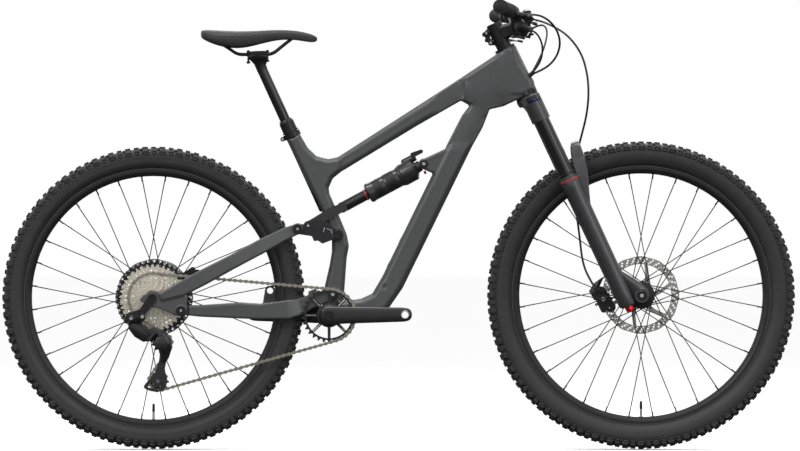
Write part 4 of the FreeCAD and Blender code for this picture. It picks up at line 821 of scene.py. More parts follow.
def bar_across(batch, x, z, half_long, half_tall, half_wide, lean=0.0):
    """A rounded bar that lies across the bike; sizes in millimetres."""
    rings = []
    for share, size in ((-1.0, 0.82), (-0.93, 0.97), (-0.8, 1.0), (0.8, 1.0), (0.93, 0.97), (1.0, 0.82)):
        ring = []
        for angle in angles_of(24):
            along = bulge(cos(angle), 0.5) * half_long * size
            up = bulge(sin(angle), 0.7) * half_tall * size
            ring.append(Vector((x + along, share * half_wide, z + up + along * lean)) * MM)
        rings.append(ring)
    batch.loft(rings)


def make_post():
    """Sliding post that flares into a cradle, with two clamp halves and two bolts at the rails."""
    tube = Batch()
    turned(tube, SEAT_TOP, SEAT_UP, [(-62, 11.4), (-60, 12), (176, 12), (178, 11.8)], 40)
    tube.piece("dropper_tube", "dropper", "stanchion_black", 40, "dropper_post")
    head = Batch()
    angles = angles_of(28)
    flat = Vector((1, 0, 0))
    flat = (flat - SEAT_UP * flat.dot(SEAT_UP)).normalized()
    rings = [[seat_line(168) + flat * 12.4 * MM * cos(angle) + ACROSS * 12.4 * MM * sin(angle)
              for angle in angles]]
    for x, z, half_long, half_wide in ((-319.5, 888, 13.5, 12.6), (-321.5, 895, 17.5, 14.5),
                                       (-323.5, 901, 21.5, 17.5), (-324.5, 905, 23, 19)):
        centre = Vector((x, 0, z)) * MM
        rings.append([centre + Vector((half_long * cos(angle), half_wide * sin(angle), 0)) * MM
                      for angle in angles])
    head.loft(rings)
    bar_across(head, -324.5, 906.5, 24, 4.6, 26.5)
    bar_across(head, -324.5, 916.5, 21, 3.4, 26.5, 0.04)
    for x, low, high in ((-347, 891, 921), (-303, 895, 922)):
        turned(head, Vector((x, 0, low)) * MM, Vector((0, 0, 1)), [(0, 3.6), (0.6, 4.4), (5, 4.4), (5, 2.5),
                                                                    (high - low, 2.5)], 20)
        turned(head, Vector((x, -9, high - 3)) * MM, ACROSS,
               [(0, 3.4), (0.6, 4.0), (17.4, 4.0), (18, 3.4)], 20)
    head.piece("dropper_head", "dropper", "black_alloy", 40, "dropper_post")


BAR_SWEEP = 0.989
GRIP_INNER_Y = 262.0
GRIP_OUTER_Y = 389.0
RIB_PITCH = 4.8


def bar_slope(sign):
    """The direction of the handlebar's end on one side."""
    return Vector((-38.0, sign * 258.0, 8.0)).normalized()


def make_grips():
    """Ribbed grips with a lock ring at the inner end and a plug at the outer end."""
    for side, sign in (("right", -1), ("left", 1)):
        slope = bar_slope(sign)
        start = Vector((268, sign * 130, 1004)) * MM + slope * (GRIP_INNER_Y - 130) / BAR_SWEEP * MM
        length = (GRIP_OUTER_Y - GRIP_INNER_Y) / BAR_SWEEP
        profile = [(0, 13.2), (1, 16.4)]
        along = 2.0
        while along < length - 8:
            profile += [(along, 15.2), (along + 0.9, 16.3), (along + 3.1, 16.3), (along + 4.0, 15.2)]
            along += RIB_PITCH
        profile += [(length - 5, 15.6), (length - 3, 17.0), (length - 0.6, 16.6), (length, 14)]
        batch = Batch()
        turned(batch, start, slope, profile, 40)
        turned(batch, start - slope * 6.5 * MM, slope,
               [(0, 12.8), (0.6, 15.8), (5.6, 15.8), (6.2, 14)], 40, 1)
        turned(batch, start + slope * length * MM, slope, [(-1, 12), (0.4, 11.6), (1.2, 9)], 32, 1)
        batch.piece("grip_" + side, "steerer", "grip_rubber", 40, "grips",
                    materials=[LOOKS["grip_rubber"], LOOKS["black_alloy"]])


# ---- fork -----------------------------------------------------------------------------------------
ARCH_HALF = ((63.5, 214, 240, 12, 8.0), (63.5, 246, 296, 19, 13.0), (63.5, 282, 316, 30, 15.0),
             (62, 318, 352, 43.5, 14.0), (56, 352, 376, 49.5, 12.5), (43, 367, 386, 53, 10.4),
             (22, 371.5, 388, 53.5, 10.0))


def oval(centre, half_front, half_side, count):
    """An oval section ring: half_front in front and behind, half_side across, in millimetres."""
    return [centre + STEER_FRONT * half_front * MM * cos(angle) + ACROSS * half_side * MM * sin(angle)
            for angle in angles_of(count)]


def make_arch():
    """The moulded arch between the fork's lower legs, from (y, low, top, forward, thickness) rows."""
    rows = []
    right_half = tuple((-y, *row) for y, *row in ARCH_HALF)
    for y, t_low, t_top, n, thick in right_half + ((0, 372.5, 388.5, 53.5, 10.0),) + ARCH_HALF[::-1]:
        middle_t = (t_low + t_top) / 2
        half_t = (t_top - t_low) / 2
        ring = []
        for angle in angles_of(16):
            tall = bulge(sin(angle), 0.6)
            spot = steer(middle_t + half_t * tall, n + thick * bulge(cos(angle), 0.6), y)
            if abs(y) > 50:
                spot += Vector((0, (1 if y > 0 else -1) * (-half_t * 0.25 * tall) * MM, 0))
            ring.append(spot)
        rows.append(ring)
    arch = Batch()
    arch.loft(rows)
    piece = arch.piece("fork_arch", "fork_lowers", "fork_black", 60, "fork_lowers")
    smooth_piece(piece)


def make_fork():
    """Lower legs with their arch, caliper mount, wiper seals, rings and rebound knob."""
    body = Batch()
    for sign in (-1, 1):
        y = sign * STANCHION_Y
        foot = steer(0, STANCHION_N, y)
        turned(body, foot, STEER_UP, [(-10, 14), (-9, 16.5), (-4, 18.2), (20, 18.8), (60, 19.6), (180, 20.0),
                                      (262, 20.6), (276, 21.2), (292, 22.4), (311, 22.6), (313, 21.6)], 44)
        body.loft([oval(steer(t, n, sign * 64), front, side * 0.86, 24) for t, n, front, side in (
            (74, 17, 7, 13.2), (50, 27, 13, 12.4), (28, 37, 17, 10), (8, 43, 19, 8.4),
            (-8, 45, 15.5, 8), (-17, 44.5, 8, 7.4))])
        turned(body, Vector((FRONT_AXLE.x, sign * 0.0562, FRONT_AXLE.z)), Vector((0, sign, 0)),
               [(0, 17.6), (13.8, 17.6), (15.4, 16)], 40)
    make_arch()
    mount = Batch()
    mount.loft([oval(steer(t, n, 64), front, side, 16) for t, n, front, side in (
        (74, -14, 8, 6), (70, -30, 12, 5.4), (58, -46, 14, 5.2), (34, -46, 12, 5.2),
        (22, -24, 10, 5.4), (18, -12, 8, 6))])
    mount.piece("fork_caliper_mount", "fork_lowers", "fork_black", 50, "fork_lowers")
    body.piece("fork_legs", "fork_lowers", "fork_black", 40, "fork_lowers")
    seals = Batch()
    rings_red = Batch()
    for sign in (-1, 1):
        foot = steer(0, STANCHION_N, sign * STANCHION_Y)
        turned(seals, foot, STEER_UP,
               [(312.5, 21.4), (314.5, 21.6), (316, 20.4), (319, 19.4), (321, 17.9)], 40)
        turned(rings_red, foot, STEER_UP, [(310.4, 22.75), (311, 23.1), (312.4, 23.1), (313.0, 22.6)], 44)
    seals.piece("fork_wipers", "fork_lowers", "fork_black", materials=[LOOKS["black_plastic"]])
    rings_red.piece("fork_red_rings", "fork_lowers", "knob_red", materials=[RED_SEAL])
    marks = Batch()
    foot = steer(0, STANCHION_N, -STANCHION_Y)
    turned(marks, foot, STEER_UP, [(325, 17.58), (326, 18.6), (327.6, 18.6), (328.4, 17.58)], 36)
    marks.piece("fork_travel_ring", "steerer", "fork_black", materials=[LOOKS["black_plastic"]])
    knob = Batch()
    turned(knob, foot, STEER_UP,
           [(-22, 4), (-21.5, 8.0), (-20, 9.6), (-13, 9.9), (-10.5, 9.8), (-9.6, 5)], 14)
    knob.piece("rebound_knob_cap", "rebound_knob", "knob_red", 20, "rebound_knob")


# ---- cockpit --------------------------------------------------------------------------------------
def swept(batch, points, radii, count=20, mark=0, squash=1.0, flat_axis=(0, 0, 1)):
    """A tube through points in millimetres whose radius changes, thinner along flat_axis."""
    places = [Vector(p) * MM for p in points]
    thin = Vector(flat_axis).normalized()
    rings = []
    for i, place in enumerate(places):
        ahead = places[min(i + 1, len(places) - 1)] - places[max(i - 1, 0)]
        ahead.normalize()
        up = (thin - ahead * thin.dot(ahead)).normalized()
        side = ahead.cross(up)
        rings.append([place + side * radii[i] * MM * cos(angle) + up * radii[i] * squash * MM * sin(angle)
                      for angle in angles_of(count)])
    batch.loft(rings, mark=mark)


def make_bar():
    """The handlebar: thick middle, swept and rising to thinner ends."""
    points, radii = [], []
    for y in range(-386, 387, 4):
        size = abs(y)
        if size < 40:
            x, z, r = 277.0, 976.0, 15.9
        elif size < 150:
            share = (size - 40) / 110
            ease = share * share * (3 - 2 * share)
            x, z, r = 277 - 11.9 * ease, 976 + 28.6 * ease, 15.9 - 4.2 * min(share * 1.2, 1)
        else:
            share = (size - 150) / 238
            x, z, r = 265.1 - 35.1 * share, 1004.6 + 7.4 * share, 11.7 - 0.6 * share
        points.append((x, y, z))
        radii.append(r)
    batch = Batch()
    swept(batch, points, radii, 32)
    batch.piece("handlebar_tube", "steerer", "black_alloy", 50, "handlebar")


LEVER_AXIS = Vector((0.474, 0, 0.8805))
LEVER_PIVOT = (298.0, 232.0, 984.0)
CLAMP_PROFILE = [(0, 12.5), (0, 16.2), (1, 16.8), (11, 16.8), (12, 16.2), (12, 12.5)]
POD_CLAMP_PROFILE = [(0, 12.2), (0, 15.4), (1, 15.9), (11, 15.9), (12, 15.4), (12, 12.2)]


def make_brakes():
    """Master cylinders, finger blades, shifter pods and the thumb paddles under the bar."""
    for side, sign in (("right", -1), ("left", 1)):
        def place(x, y, z):
            return Vector((x, sign * y, z)) * MM
        body = Batch()
        bar = place(253.6, 228, 1007)
        slope = bar_slope(sign)
        turned(body, bar - slope * 6 * MM, slope, CLAMP_PROFILE, 32)
        swept(body, mirrored([(264, 226, 1001), (280, 222, 996), (292, 216, 994)], sign), [7, 7.5, 8], 16)
        swept(body, mirrored([(286, 150, 1001), (288, 153, 1001), (290, 168, 1000), (293, 200, 997),
                              (296, 222, 994), (298, 236, 991), (298.5, 240, 990)], sign),
              [5, 8.2, 9.2, 10.4, 10.2, 8.2, 4], 22)
        swept(body, mirrored([(293, 186, 1006), (294, 200, 1006), (296, 222, 1003)], sign),
              [6, 9.6, 7], 18, 0, 0.62)
        pivot = place(*LEVER_PIVOT)
        for low_end, high_end in ((-10.4, -6.5), (6.5, 10.4)):
            turned(body, pivot + LEVER_AXIS * low_end * MM, LEVER_AXIS,
                   [(0, 7.4), (0.6, 8.2), (high_end - low_end - 0.6, 8.2), (high_end - low_end, 7.4)], 24)
        turned(body, place(286, 151, 1001), Vector((-0.05, -sign, 0.02)),
               [(-2, 5.5), (6, 5.5), (7, 4.2), (12, 3.6)], 18)
        body.piece("brake_master_" + side, "steerer", "black_alloy", 45, "brake_masters")
        blade = Batch()
        turned(blade, pivot - LEVER_AXIS * 6.1 * MM, LEVER_AXIS,
               [(0, 6.2), (0.5, 6.9), (11.7, 6.9), (12.2, 6.2)], 24)
        swept(blade, mirrored([(300, 234, 983.5), (306, 243, 981), (311, 256, 978.6), (310, 272, 977.6),
                               (307, 290, 977.2), (306, 308, 976.8), (308, 322, 975.6),
                               (311, 332, 974.2), (312.5, 336.5, 973.6)], sign),
              [6.2, 6.0, 5.6, 5.0, 4.9, 5.2, 5.4, 5.0, 2.6], 20, 0, 0.8, LEVER_AXIS)
        blade.piece("brake_blade_%s_finish" % side, "brake_blade_" + side, "lever_black", 45,
                    "brake_blade_" + side)
        pod = Batch()
        pod_bar = place(260.4, 182, 1005.6)
        turned(pod, pod_bar - slope * 6 * MM, slope, POD_CLAMP_PROFILE, 32)
        swept(pod, mirrored([(264, 181, 998), (272, 178, 986), (280, 172, 976)], sign), [6.5, 7.5, 10], 16)
        swept(pod, mirrored([(270, 191, 973), (272, 190, 973), (278, 182, 971.5), (285, 168, 969),
                             (290, 156, 967.5), (292, 148, 967), (293, 144, 966.5)], sign),
              [5, 10.5, 14, 15, 13.5, 9.5, 4], 24, 0, 0.86)
        turned(pod, place(292, 146, 966.4), Vector((0.2, -sign, 0)),
               [(0, 4.6), (4, 4.6), (5, 3.6), (9, 3.0)], 16)
        pod.piece("shift_pod_" + side, "steerer", "black_plastic", 45, "shifter_pods")
    paddles = (("shift_lever_main", -1, (284, 158, 949), (262, 204, 948)),
               ("shift_lever_release", -1, (296, 176, 951), (303, 206, 954)),
               ("dropper_lever", 1, (284, 158, 949), (262, 210, 950)))
    for node, sign, hub, tip in paddles:
        batch = Batch()
        start, end = [Vector(spot) for spot in mirrored((hub, tip), sign)]
        turned(batch, start * MM, Vector((-0.2, 0, -0.98)), [(0, 6.3), (0.6, 6.7), (4.6, 6.7), (5.2, 6)], 20)
        mid = start.lerp(end, 0.5)
        far = end + (end - start).normalized() * 5
        swept(batch, [start + Vector((-0.5, 0, -2.6)), mid + Vector((0, 0, -1.5)),
                      start.lerp(end, 0.8), end, far], [3.6, 3.4, 5.5, 6.8, 2.6], 16, 0, 0.5)
        batch.piece(node + "_finish", node, SLOT_OF[node], 45, node)


# ---- cranks ---------------------------------------------------------------------------------------
CRANK_ROWS = (  # along the arm, half height, width, distance from the middle of the bike
    (-19, 14, 16, 64), (-14, 19.5, 16.5, 64), (0, 21, 16.5, 64), (16, 20.6, 16, 65), (40, 19.2, 15, 67),
    (80, 18.6, 14, 70.5), (120, 17.6, 13, 74), (155, 16.8, 12.8, 76.6), (176, 16.6, 12.8, 77),
    (186, 13.4, 12.4, 77), (191.2, 5.5, 11.0, 77))
CRANK_SECTION = (  # outward share of the width, share of the half height
    (-0.70, 1.0), (0.0, 1.0), (0.45, 1.0), (0.82, 0.84), (1.0, 0.55), (1.0, -0.3), (0.9, -0.72),
    (0.55, -0.98), (0.0, -1.0), (-0.6, -1.0), (-0.94, -0.9), (-1.0, -0.5), (-1.0, 0.6), (-0.92, 0.9))


def make_cranks():
    """Smooth forged arms with a raised upper edge, their axle caps and the pedal thread inserts."""
    for side, sign, heading in (("right", -1, 1), ("left", 1, -1)):
        inner = 56.2 if sign < 0 else 53.2
        rings = []
        for along, tall, wide, y in CRANK_ROWS:
            centre_y = y + (inner - 56.2) * (1 - min(max(along, 0) / 175, 1))
            centre = Vector((CRANK.x / MM + heading * along, sign * centre_y,
                             CRANK.z / MM + 2 * max(along, 0) / 175))
            rings.append([(centre + Vector((0, sign * a * wide / 2, b * tall))) * MM
                          for a, b in CRANK_SECTION])
        arm = Batch()
        arm.loft(rings)
        piece = arm.piece("crank_arm_" + side, "crank", "crank_black", 60, "crank_" + side)
        crease_ends(piece)
        smooth_piece(piece)
        bore_pedal_eye(piece, sign, heading)
        parts = Batch()
        hub = Vector((CRANK.x, sign * (72.4 if sign < 0 else 69.6) * MM, CRANK.z))
        turned(parts, hub, Vector((0, sign, 0)), [(-1, 12.6), (0.6, 12.6), (1.2, 11.8), (1.2, 8.4),
                                                  (0.2, 8.0), (0.2, 6), (0.9, 5.6), (0.9, 3)], 36)
        parts.piece("crank_fittings_" + side, "crank", "black_alloy")
        eye = Batch()
        centre = Vector((CRANK.x + heading * 0.175, 0, CRANK.z + 0.002))
        hoop(eye, centre, [(7.15, sign * 71), (7.15, sign * 83.2), (8.9, sign * 83.6), (9.4, sign * 83.2),
                           (9.4, sign * 71)], 36)
        eye.piece("pedal_thread_insert_" + side, "crank", "bolt_black", materials=[STEEL_BARE])


def crease_ends(piece):
    """Keep the arm's long edges firm when it is subdivided."""
    mesh = piece.data
    crease = mesh.attributes.new("crease_edge", "FLOAT", "EDGE")
    for edge, value in zip(mesh.edges, crease.data):
        a, b = (mesh.vertices[i].co for i in edge.vertices)
        value.value = 0.35 if abs((a - b).normalized().x) > 0.8 else 0.0


def bore_pedal_eye(piece, sign, heading):
    """Cut the pedal hole right through the arm."""
    cutter = Batch()
    centre = Vector((CRANK.x + heading * 0.175, sign * 0.06, CRANK.z + 0.002))
    turned(cutter, centre, Vector((0, sign, 0)), [(0, 8.6), (40, 8.6)], 32)
    mesh = bpy.data.meshes.new("cutter")
    mesh.from_pydata(cutter.verts, [], cutter.faces)
    tool = new_object("cutter", mesh)
    modifier = piece.modifiers.new("bore", "BOOLEAN")
    modifier.operation = "DIFFERENCE"
    modifier.object = tool
    modifier.solver = "EXACT"
    bored = evaluated_mesh(piece)
    piece.modifiers.clear()
    piece.data = bored
    bpy.data.objects.remove(tool)
    bored.shade_smooth()
    bored.set_sharp_from_angle(angle=radians(45))


# ---- shock ----------------------------------------------------------------------------------------
def make_shock():
    """Air can with seams and a red valve cap, a red travel ring and two plain bands."""
    def barrel(batch, profile, mark=0, across=0.0, count=44):
        turned(batch, shock_at(0, across), SHOCK_DOWN, profile, count, mark)
    can = Batch()
    barrel(can, [(17, 12), (18, 13), (24.5, 23.6), (26, 25.6), (56, 25.9), (58.5, 25.2), (59.5, 24.0),
                 (61, 24.2), (63, 23.4), (66, 22.2)])
    barrel(can, [(66, 21.8), (67, 22.4), (100, 22.4), (101, 22.0), (102, 22.4), (136, 22.4), (138, 23.4),
                 (144, 23.4), (147.5, 19.2), (148, 14)])
    for sign in (-1, 1):
        turned(can, SHOCK + Vector((0, sign * 0.0145, 0)), Vector((0, -sign, 0)),
               [(0, 8.5), (0, 12.2), (6, 12.2)], 36)
    barrel(can, [(8, 6), (9, 12.5), (20, 13.2)], 0)
    barrel(can, [(9, 4), (10, 8.6), (40, 9.2), (44, 7), (45, 3)], 0, 23.5, 28)
    barrel(can, [(4, 2), (4.5, 3.6), (9.5, 3.9)], 1, -19.0, 18)
    can.piece("shock_air_can", "shock_can", "shock_black", 35, "shock_can",
              materials=[LOOKS["shock_black"], LOOKS["knob_red"]])
    ring = Batch()
    barrel(ring, [(150.5, 12.4), (150.8, 14.2), (153.2, 14.2), (153.6, 12.4)])
    ring.piece("shock_travel_ring", "shock_shaft", "knob_red", materials=[RED_SEAL])
    label = Batch()
    for low_end, high_end in ((74, 96), (110, 128)):
        rings = []
        for k in range(13):
            angle = radians(-68 + 11.3 * k)
            out = SHOCK_ACROSS * sin(angle) + Vector((0, -1, 0)) * cos(angle)
            rings.append([shock_at(end) + out * reach * MM for end, reach in (
                (low_end, 22.46), (high_end, 22.46), (high_end, 22.62), (low_end, 22.62))])
        label.loft(rings)
    label.piece("shock_plain_bands", "shock_can", "shock_black", materials=[LOOKS["black_plastic"]])


# ---- frame skins ----------------------------------------------------------------------------------
FLANK_NORMAL_Y = 0.62
FLANK_ROUNDS = 260
HEAD_BOX = ((0.07, 0.69), (0.275, 0.93))


def read_rows(items, attribute, width, kind=float):
    """An attribute of a mesh's vertices or edges as rows of numbers."""
    values = np.zeros(len(items) * width, kind)
    items.foreach_get(attribute, values)
    return values.reshape(-1, width)


def relaxed(mesh, rounds):
    """Even out a dense mesh without shrinking it: alternate inward and outward smoothing."""
    count = len(mesh.vertices)
    places = read_rows(mesh.vertices, "co", 3)
    edges = read_rows(mesh.edges, "vertices", 2, np.int32)
    reach = np.bincount(edges.ravel(), minlength=count).reshape(-1, 1)
    for share in [0.55, -0.57] * rounds:
        total = np.zeros_like(places)
        for axis in range(3):
            total[:, axis] = (np.bincount(edges[:, 0], places[edges[:, 1], axis], count)
                              + np.bincount(edges[:, 1], places[edges[:, 0], axis], count))
        places += share * (total / np.maximum(reach, 1) - places)
    mesh.vertices.foreach_set("co", places.ravel())
    mesh.update()


def even_flanks(mesh, low, high, feather=0.02):
    """Blend shallow seams on a skin's flanks inside a side-view box; only sideways places change."""
    count = len(mesh.vertices)
    places = read_rows(mesh.vertices, "co", 3)
    normals = read_rows(mesh.vertices, "normal", 3)
    edges = read_rows(mesh.edges, "vertices", 2, np.int32)
    inset = np.minimum.reduce([places[:, 0] - low[0], high[0] - places[:, 0],
                               places[:, 2] - low[1], high[1] - places[:, 2]])
    flank = (np.abs(normals[:, 1]) > FLANK_NORMAL_Y) & (inset > 0)
    joined = edges[flank[edges[:, 0]] & flank[edges[:, 1]]]
    near = np.bincount(joined.ravel(), minlength=count)
    share = np.clip(inset / feather, 0, 1) * (near > 1)
    even = places[:, 1].copy()
    for _ in range(FLANK_ROUNDS):
        total = (np.bincount(joined[:, 0], even[joined[:, 1]], count)
                 + np.bincount(joined[:, 1], even[joined[:, 0]], count))
        even = np.where(near > 1, 0.5 * even + 0.5 * total / np.maximum(near, 1), even)
    places[:, 1] += share * (even - places[:, 1])
    mesh.vertices.foreach_set("co", places.ravel())
    mesh.update()


def smooth_skin(node, body, voxel, rounds, flank_boxes=()):
    """A rounded, blended skin in place of a CAD solid with hard edges."""
    source = new_object(node + "_skin", NODES[node].data.copy())
    remesh = source.modifiers.new("even", "REMESH")
    remesh.mode = "VOXEL"
    remesh.voxel_size = voxel * MM
    mesh = evaluated_mesh(source)
    source.modifiers.clear()
    source.data = mesh
    relaxed(mesh, rounds)
    for low, high in flank_boxes:
        even_flanks(mesh, low, high)
    relaxed(mesh, 4)
    mesh.shade_smooth()
    mesh.materials.clear()
    mesh.materials.append(LOOKS[SLOT_OF[node]])
    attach(source, body)
    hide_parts(node)


def make_skins():
    """Main frame, chainstays and seatstays with rounded edges and blended joints."""
    smooth_skin("main_frame", "frame", 2.2, 26, (HEAD_BOX,))
    smooth_skin("chainstays", "chainstays", 1.8, 14)
    smooth_skin("seatstays", "seatstays", 1.6, 12)


# ---- bolts and small hardware ---------------------------------------------------------------------
STAY_TIP = Vector((-0.2328, 0, 0.5094))
YOKE_PIN = Vector((-0.2085, 0, 0.5167))


def bolt_cap(batch, place, side, radius, height=2.4, eye=0.42):
    """A turned cap that faces sideways, with a rim and a dished face; eye sizes its bare middle."""
    face = height - 0.9
    turned(batch, place, ACROSS * side,
           [(-1.5, radius), (height - 0.7, radius), (height, radius - 0.8), (height, radius * 0.66),
            (face, radius * 0.6), (face, 0.2)], 36)
    if eye:
        turned(batch, place, ACROSS * side,
               [(height - 1.2, radius * eye), (height - 0.2, radius * eye),
                (height - 0.2, radius * 0.2), (height - 0.8, radius * 0.16)], 24, 1)


def make_pivot_caps():
    """Caps of the suspension's pivots and the front axle, and the rocker's webs and painted highlights along
    its edges.
    """
    for name, place, y, radius, body, eye in (("rocker_rear", STAY_TIP, 50.4, 11.0, "rocker", 0.26),
                                              ("rocker_front", ROCKER, 41.2, 11.0, "frame", 0),
                                              ("yoke_pin", YOKE_PIN, 36.6, 4.6, "rocker", 0.8),
                                              ("horst", HORST, 89.4, 11.4, "seatstays", 0.24),
                                              ("shock", SHOCK, 26.4, 9.2, "frame", 0.4),
                                              ("main", MAIN_PIVOT, 44.4, 10.4, "frame", 0.4),
                                              ("front_axle", FRONT_AXLE, 71.2, 11.5, "fork_lowers", 0.36)):
        caps = Batch()
        for side in (-1, 1):
            bolt_cap(caps, place + ACROSS * side * y * MM, side, radius, 2.4, eye)
        caps.piece(name + "_caps", body, "black_alloy", 30, materials=[LOOKS["black_alloy"], STEEL_BARE])
    # The steel-coloured lines are painted highlights along the rocker's edges; the webs are in the rocker's
    # own finish.
    edges = Batch()
    for side in (-1, 1):
        y = side * 36.8
        swept(edges, [(-173.8, y, 519), (-170.2, y, 510.7), (-174, y, 501)], [0.8, 1.3, 0.8], 10)
        swept(edges, [(-166, y, 509.7), (-155.5, y, 506), (-153, y, 496), (-149.5, y, 489)],
              [0.8, 1.4, 1.3, 0.8], 10)
    web = ((-224, 519), (-205, 527), (-180, 531), (-160, 524), (-151, 506), (-200, 503))
    for side in (-1, 1):
        add_plate(edges, [rounded_outline(web, 2)], 2.0, 0.4, (0, side * 0.0343, 0), 1)
    edges.piece("rocker_edge_painted_highlights", "rocker", SLOT_OF["rocker_link"],
                materials=[STEEL_BARE, LOOKS[SLOT_OF["rocker_link"]]])


def make_frame_hardware():
    """The seat clamp's bolt and the grommets where cables enter the head tube."""
    clamp = Batch()
    bolt_cap(clamp, Vector((-0.2678, -0.009, 0.716)), -1, 5.2, 3.0, 0.5)
    turned(clamp, Vector((-0.2678, 0.009, 0.716)), ACROSS, [(0, 5.0), (3, 5.0), (3.6, 4.2)], 24)
    clamp.piece("seat_clamp_bolt", "frame", "bolt_black", materials=[LOOKS["bolt_black"], STEEL_BARE])
    grommets = Batch()
    for node in ("rear_brake_hose", "shift_cable", "dropper_cable"):
        route = CABLES[node][0]
        end, before = Vector(route[-1]) * MM, Vector(route[-2]) * MM
        turned(grommets, end, (before - end).normalized(), [(-4, 4.6), (1.5, 4.8), (3, 4.2), (8, 3.1)], 20)
    grommets.piece("cable_grommets", "frame", "hose_black", materials=[LOOKS["black_plastic"]])


def make_stem_bolts():
    """The two clamp bolts behind the stem."""
    bolts = Batch()
    for x, z in ((0.2025, 0.9607), (0.2126, 0.9385)):
        turned(bolts, Vector((x, 0.015, z)), -ACROSS, [(0, 5.2), (0.6, 5.8), (30, 5.8)], 28)
        bolt_cap(bolts, Vector((x, -0.0145, z)), -1, 5.0, 2.6, 0.5)
        swept(bolts, [(x / MM, 0, z / MM), (x / MM + 8, 0, z / MM + 3.7), (x / MM + 20, 0, z / MM + 9)],
              [6.4, 9.5, 10.5], 20)
    bolts.piece("stem_clamp_bolts", "steerer", "bolt_black", 30, materials=[LOOKS["bolt_black"], STEEL_BARE])


def make_crown_details():
    """Crown race shoulder under the head tube and the two-part compression dial."""
    race = Batch()
    turned(race, steer(0), STEER_UP,
           [(509, 25.0), (512, 27.6), (517, 28.4), (524.5, 28.4), (526.5, 27.2)], 48)
    race.piece("crown_race", "steerer", "fork_black", 30)
    centre = middle("compression_knob")
    dial = Batch()
    turned(dial, centre, STEER_UP, [(-7.5, 12.6), (-6.5, 13.8), (-3.2, 13.9), (-2.6, 13.2)], 36, 0)
    turned(dial, centre, STEER_UP, [(-2.6, 12.4), (-2.2, 13.2), (4.8, 12.8), (6.6, 11.0), (7.2, 8.0)], 18, 1)
    dial.piece("compression_dial", "compression_knob", SLOT_OF["compression_knob"], 30, "compression_knob",
               materials=[LOOKS["knob_blue"], LOOKS["black_plastic"]])


def rounded_outline(corners, rounds=3):
    """A closed outline with its corners cut again and again until they are round."""
    points = list(corners)
    for _ in range(rounds):
        cut = []
        for (ax, az), (bx, bz) in zip(points, points[1:] + points[:1]):
            cut += [(ax * 0.75 + bx * 0.25, az * 0.75 + bz * 0.25),
                    (ax * 0.25 + bx * 0.75, az * 0.25 + bz * 0.75)]
        points = cut
    return points


CAGE_OUTLINE = ((-2, 98), (12, 103), (24, 96), (26, 74), (19, 46), (14, 24), (22, 8), (18, -16), (4, -26),
                (-18, -24), (-35, -16), (-30, -6), (-12, 12), (-1, 34), (5, 62), (-2, 84))
CAGE_OPENINGS = (((9, 48), (13, 50), (20, 74), (17, 79), (12, 70)), ((-29, -15), (-13, 0), (-9, -18)),
                 ((-4, -21), (9, -18), (9, -12), (-4, -14)))


def make_derailleur():
    """Forged knuckles with two painted highlight streaks, the wide link between them and the two cage plates.
    """
    hanger = Batch()
    swept(hanger, [(-583, -91, 309), (-590, -90, 308), (-602, -89.5, 307), (-612, -89, 304),
                   (-620, -88.5, 300)],
          [7, 12, 12.5, 11.5, 7], 22, 0, 0.62, ACROSS)
    bolt_cap(hanger, Vector((-0.6146, -0.0965, 0.3035)), -1, 6.8, 2.2, 0.5)
    bolt_cap(hanger, Vector((-0.5888, -0.0980, 0.3075)), -1, 6.8, 2.2, 0.5)
    hanger.piece("derailleur_upper_knuckle", "seatstays", "link_black", 40,
                 materials=[LOOKS["crank_black"], STEEL_BARE])
    link = Batch()
    swept(link, [(-617, -77, 298), (-610, -77, 289), (-596, -77, 275), (-580, -76.5, 263), (-568, -76, 258)],
          [7, 15, 18, 16, 8], 22, 0, 0.36, ACROSS)
    link.piece("derailleur_link_cover", "derailleur_link", SLOT_OF["derailleur_link"], 40,
               materials=[LOOKS["crank_black"]])
    knuckle = Batch()
    turned(knuckle, GUIDE + Vector((0, -0.0485, 0)), -ACROSS,
           [(0, 13), (2, 16.0), (8, 16.4), (11, 15.0), (12, 12.0), (12.1, 0.3)], 40)
    swept(knuckle, [(-581, -69, 268), (-566, -69, 268), (-549, -67, 261), (-539, -65, 249),
                    (-535, -62, 232), (-538, -58, 214), (-543, -55, 202)],
          [9, 14.5, 16.5, 16.5, 13, 9, 5.5], 22, 0, 0.52, ACROSS)
    # Two pale streaks on the knuckle's face: painted highlights.
    for start, end in (((-548, -73.8, 251), (-539, -72.9, 239)), ((-553, -74.6, 246), (-546, -74.2, 236))):
        swept(knuckle, [start, end], [0.7, 0.7], 8, 1)
    knuckle.piece("derailleur_lower_knuckle", "derailleur_knuckle", SLOT_OF["derailleur_knuckle"], 40,
                  materials=[LOOKS["crank_black"], PAINTED_STREAK_GREY])
    cage = Batch()
    outlines = [rounded_outline(CAGE_OUTLINE)] + [rounded_outline(opening, 2) for opening in CAGE_OPENINGS]
    for y, half in ((-45.9, 0.95), (-33.2, 0.8)):
        add_plate(cage, outlines, half, 0.2, (TENSION.x, y * MM, TENSION.z))
    for y, side in ((-46.8, -1), (-32.4, 1)):
        bolt_cap(cage, Vector((TENSION.x, y * MM, TENSION.z)), side, 6.4, 2.0, 0.5)
    turned(cage, Vector((TENSION.x, -0.048, TENSION.z)), ACROSS, [(0, 2.9), (17, 2.9)], 20, 1)
    turned(cage, TENSION + Vector((-0.027, 0, -0.013)) + ACROSS * (-46.6 * MM - TENSION.y), ACROSS,
           [(0, 3), (14, 3)], 18)
    cage.piece("derailleur_cage_plates", "derailleur_cage", SLOT_OF["derailleur_cage"], 35, "derailleur_cage",
               materials=[LOOKS["crank_black"], STEEL_BARE])


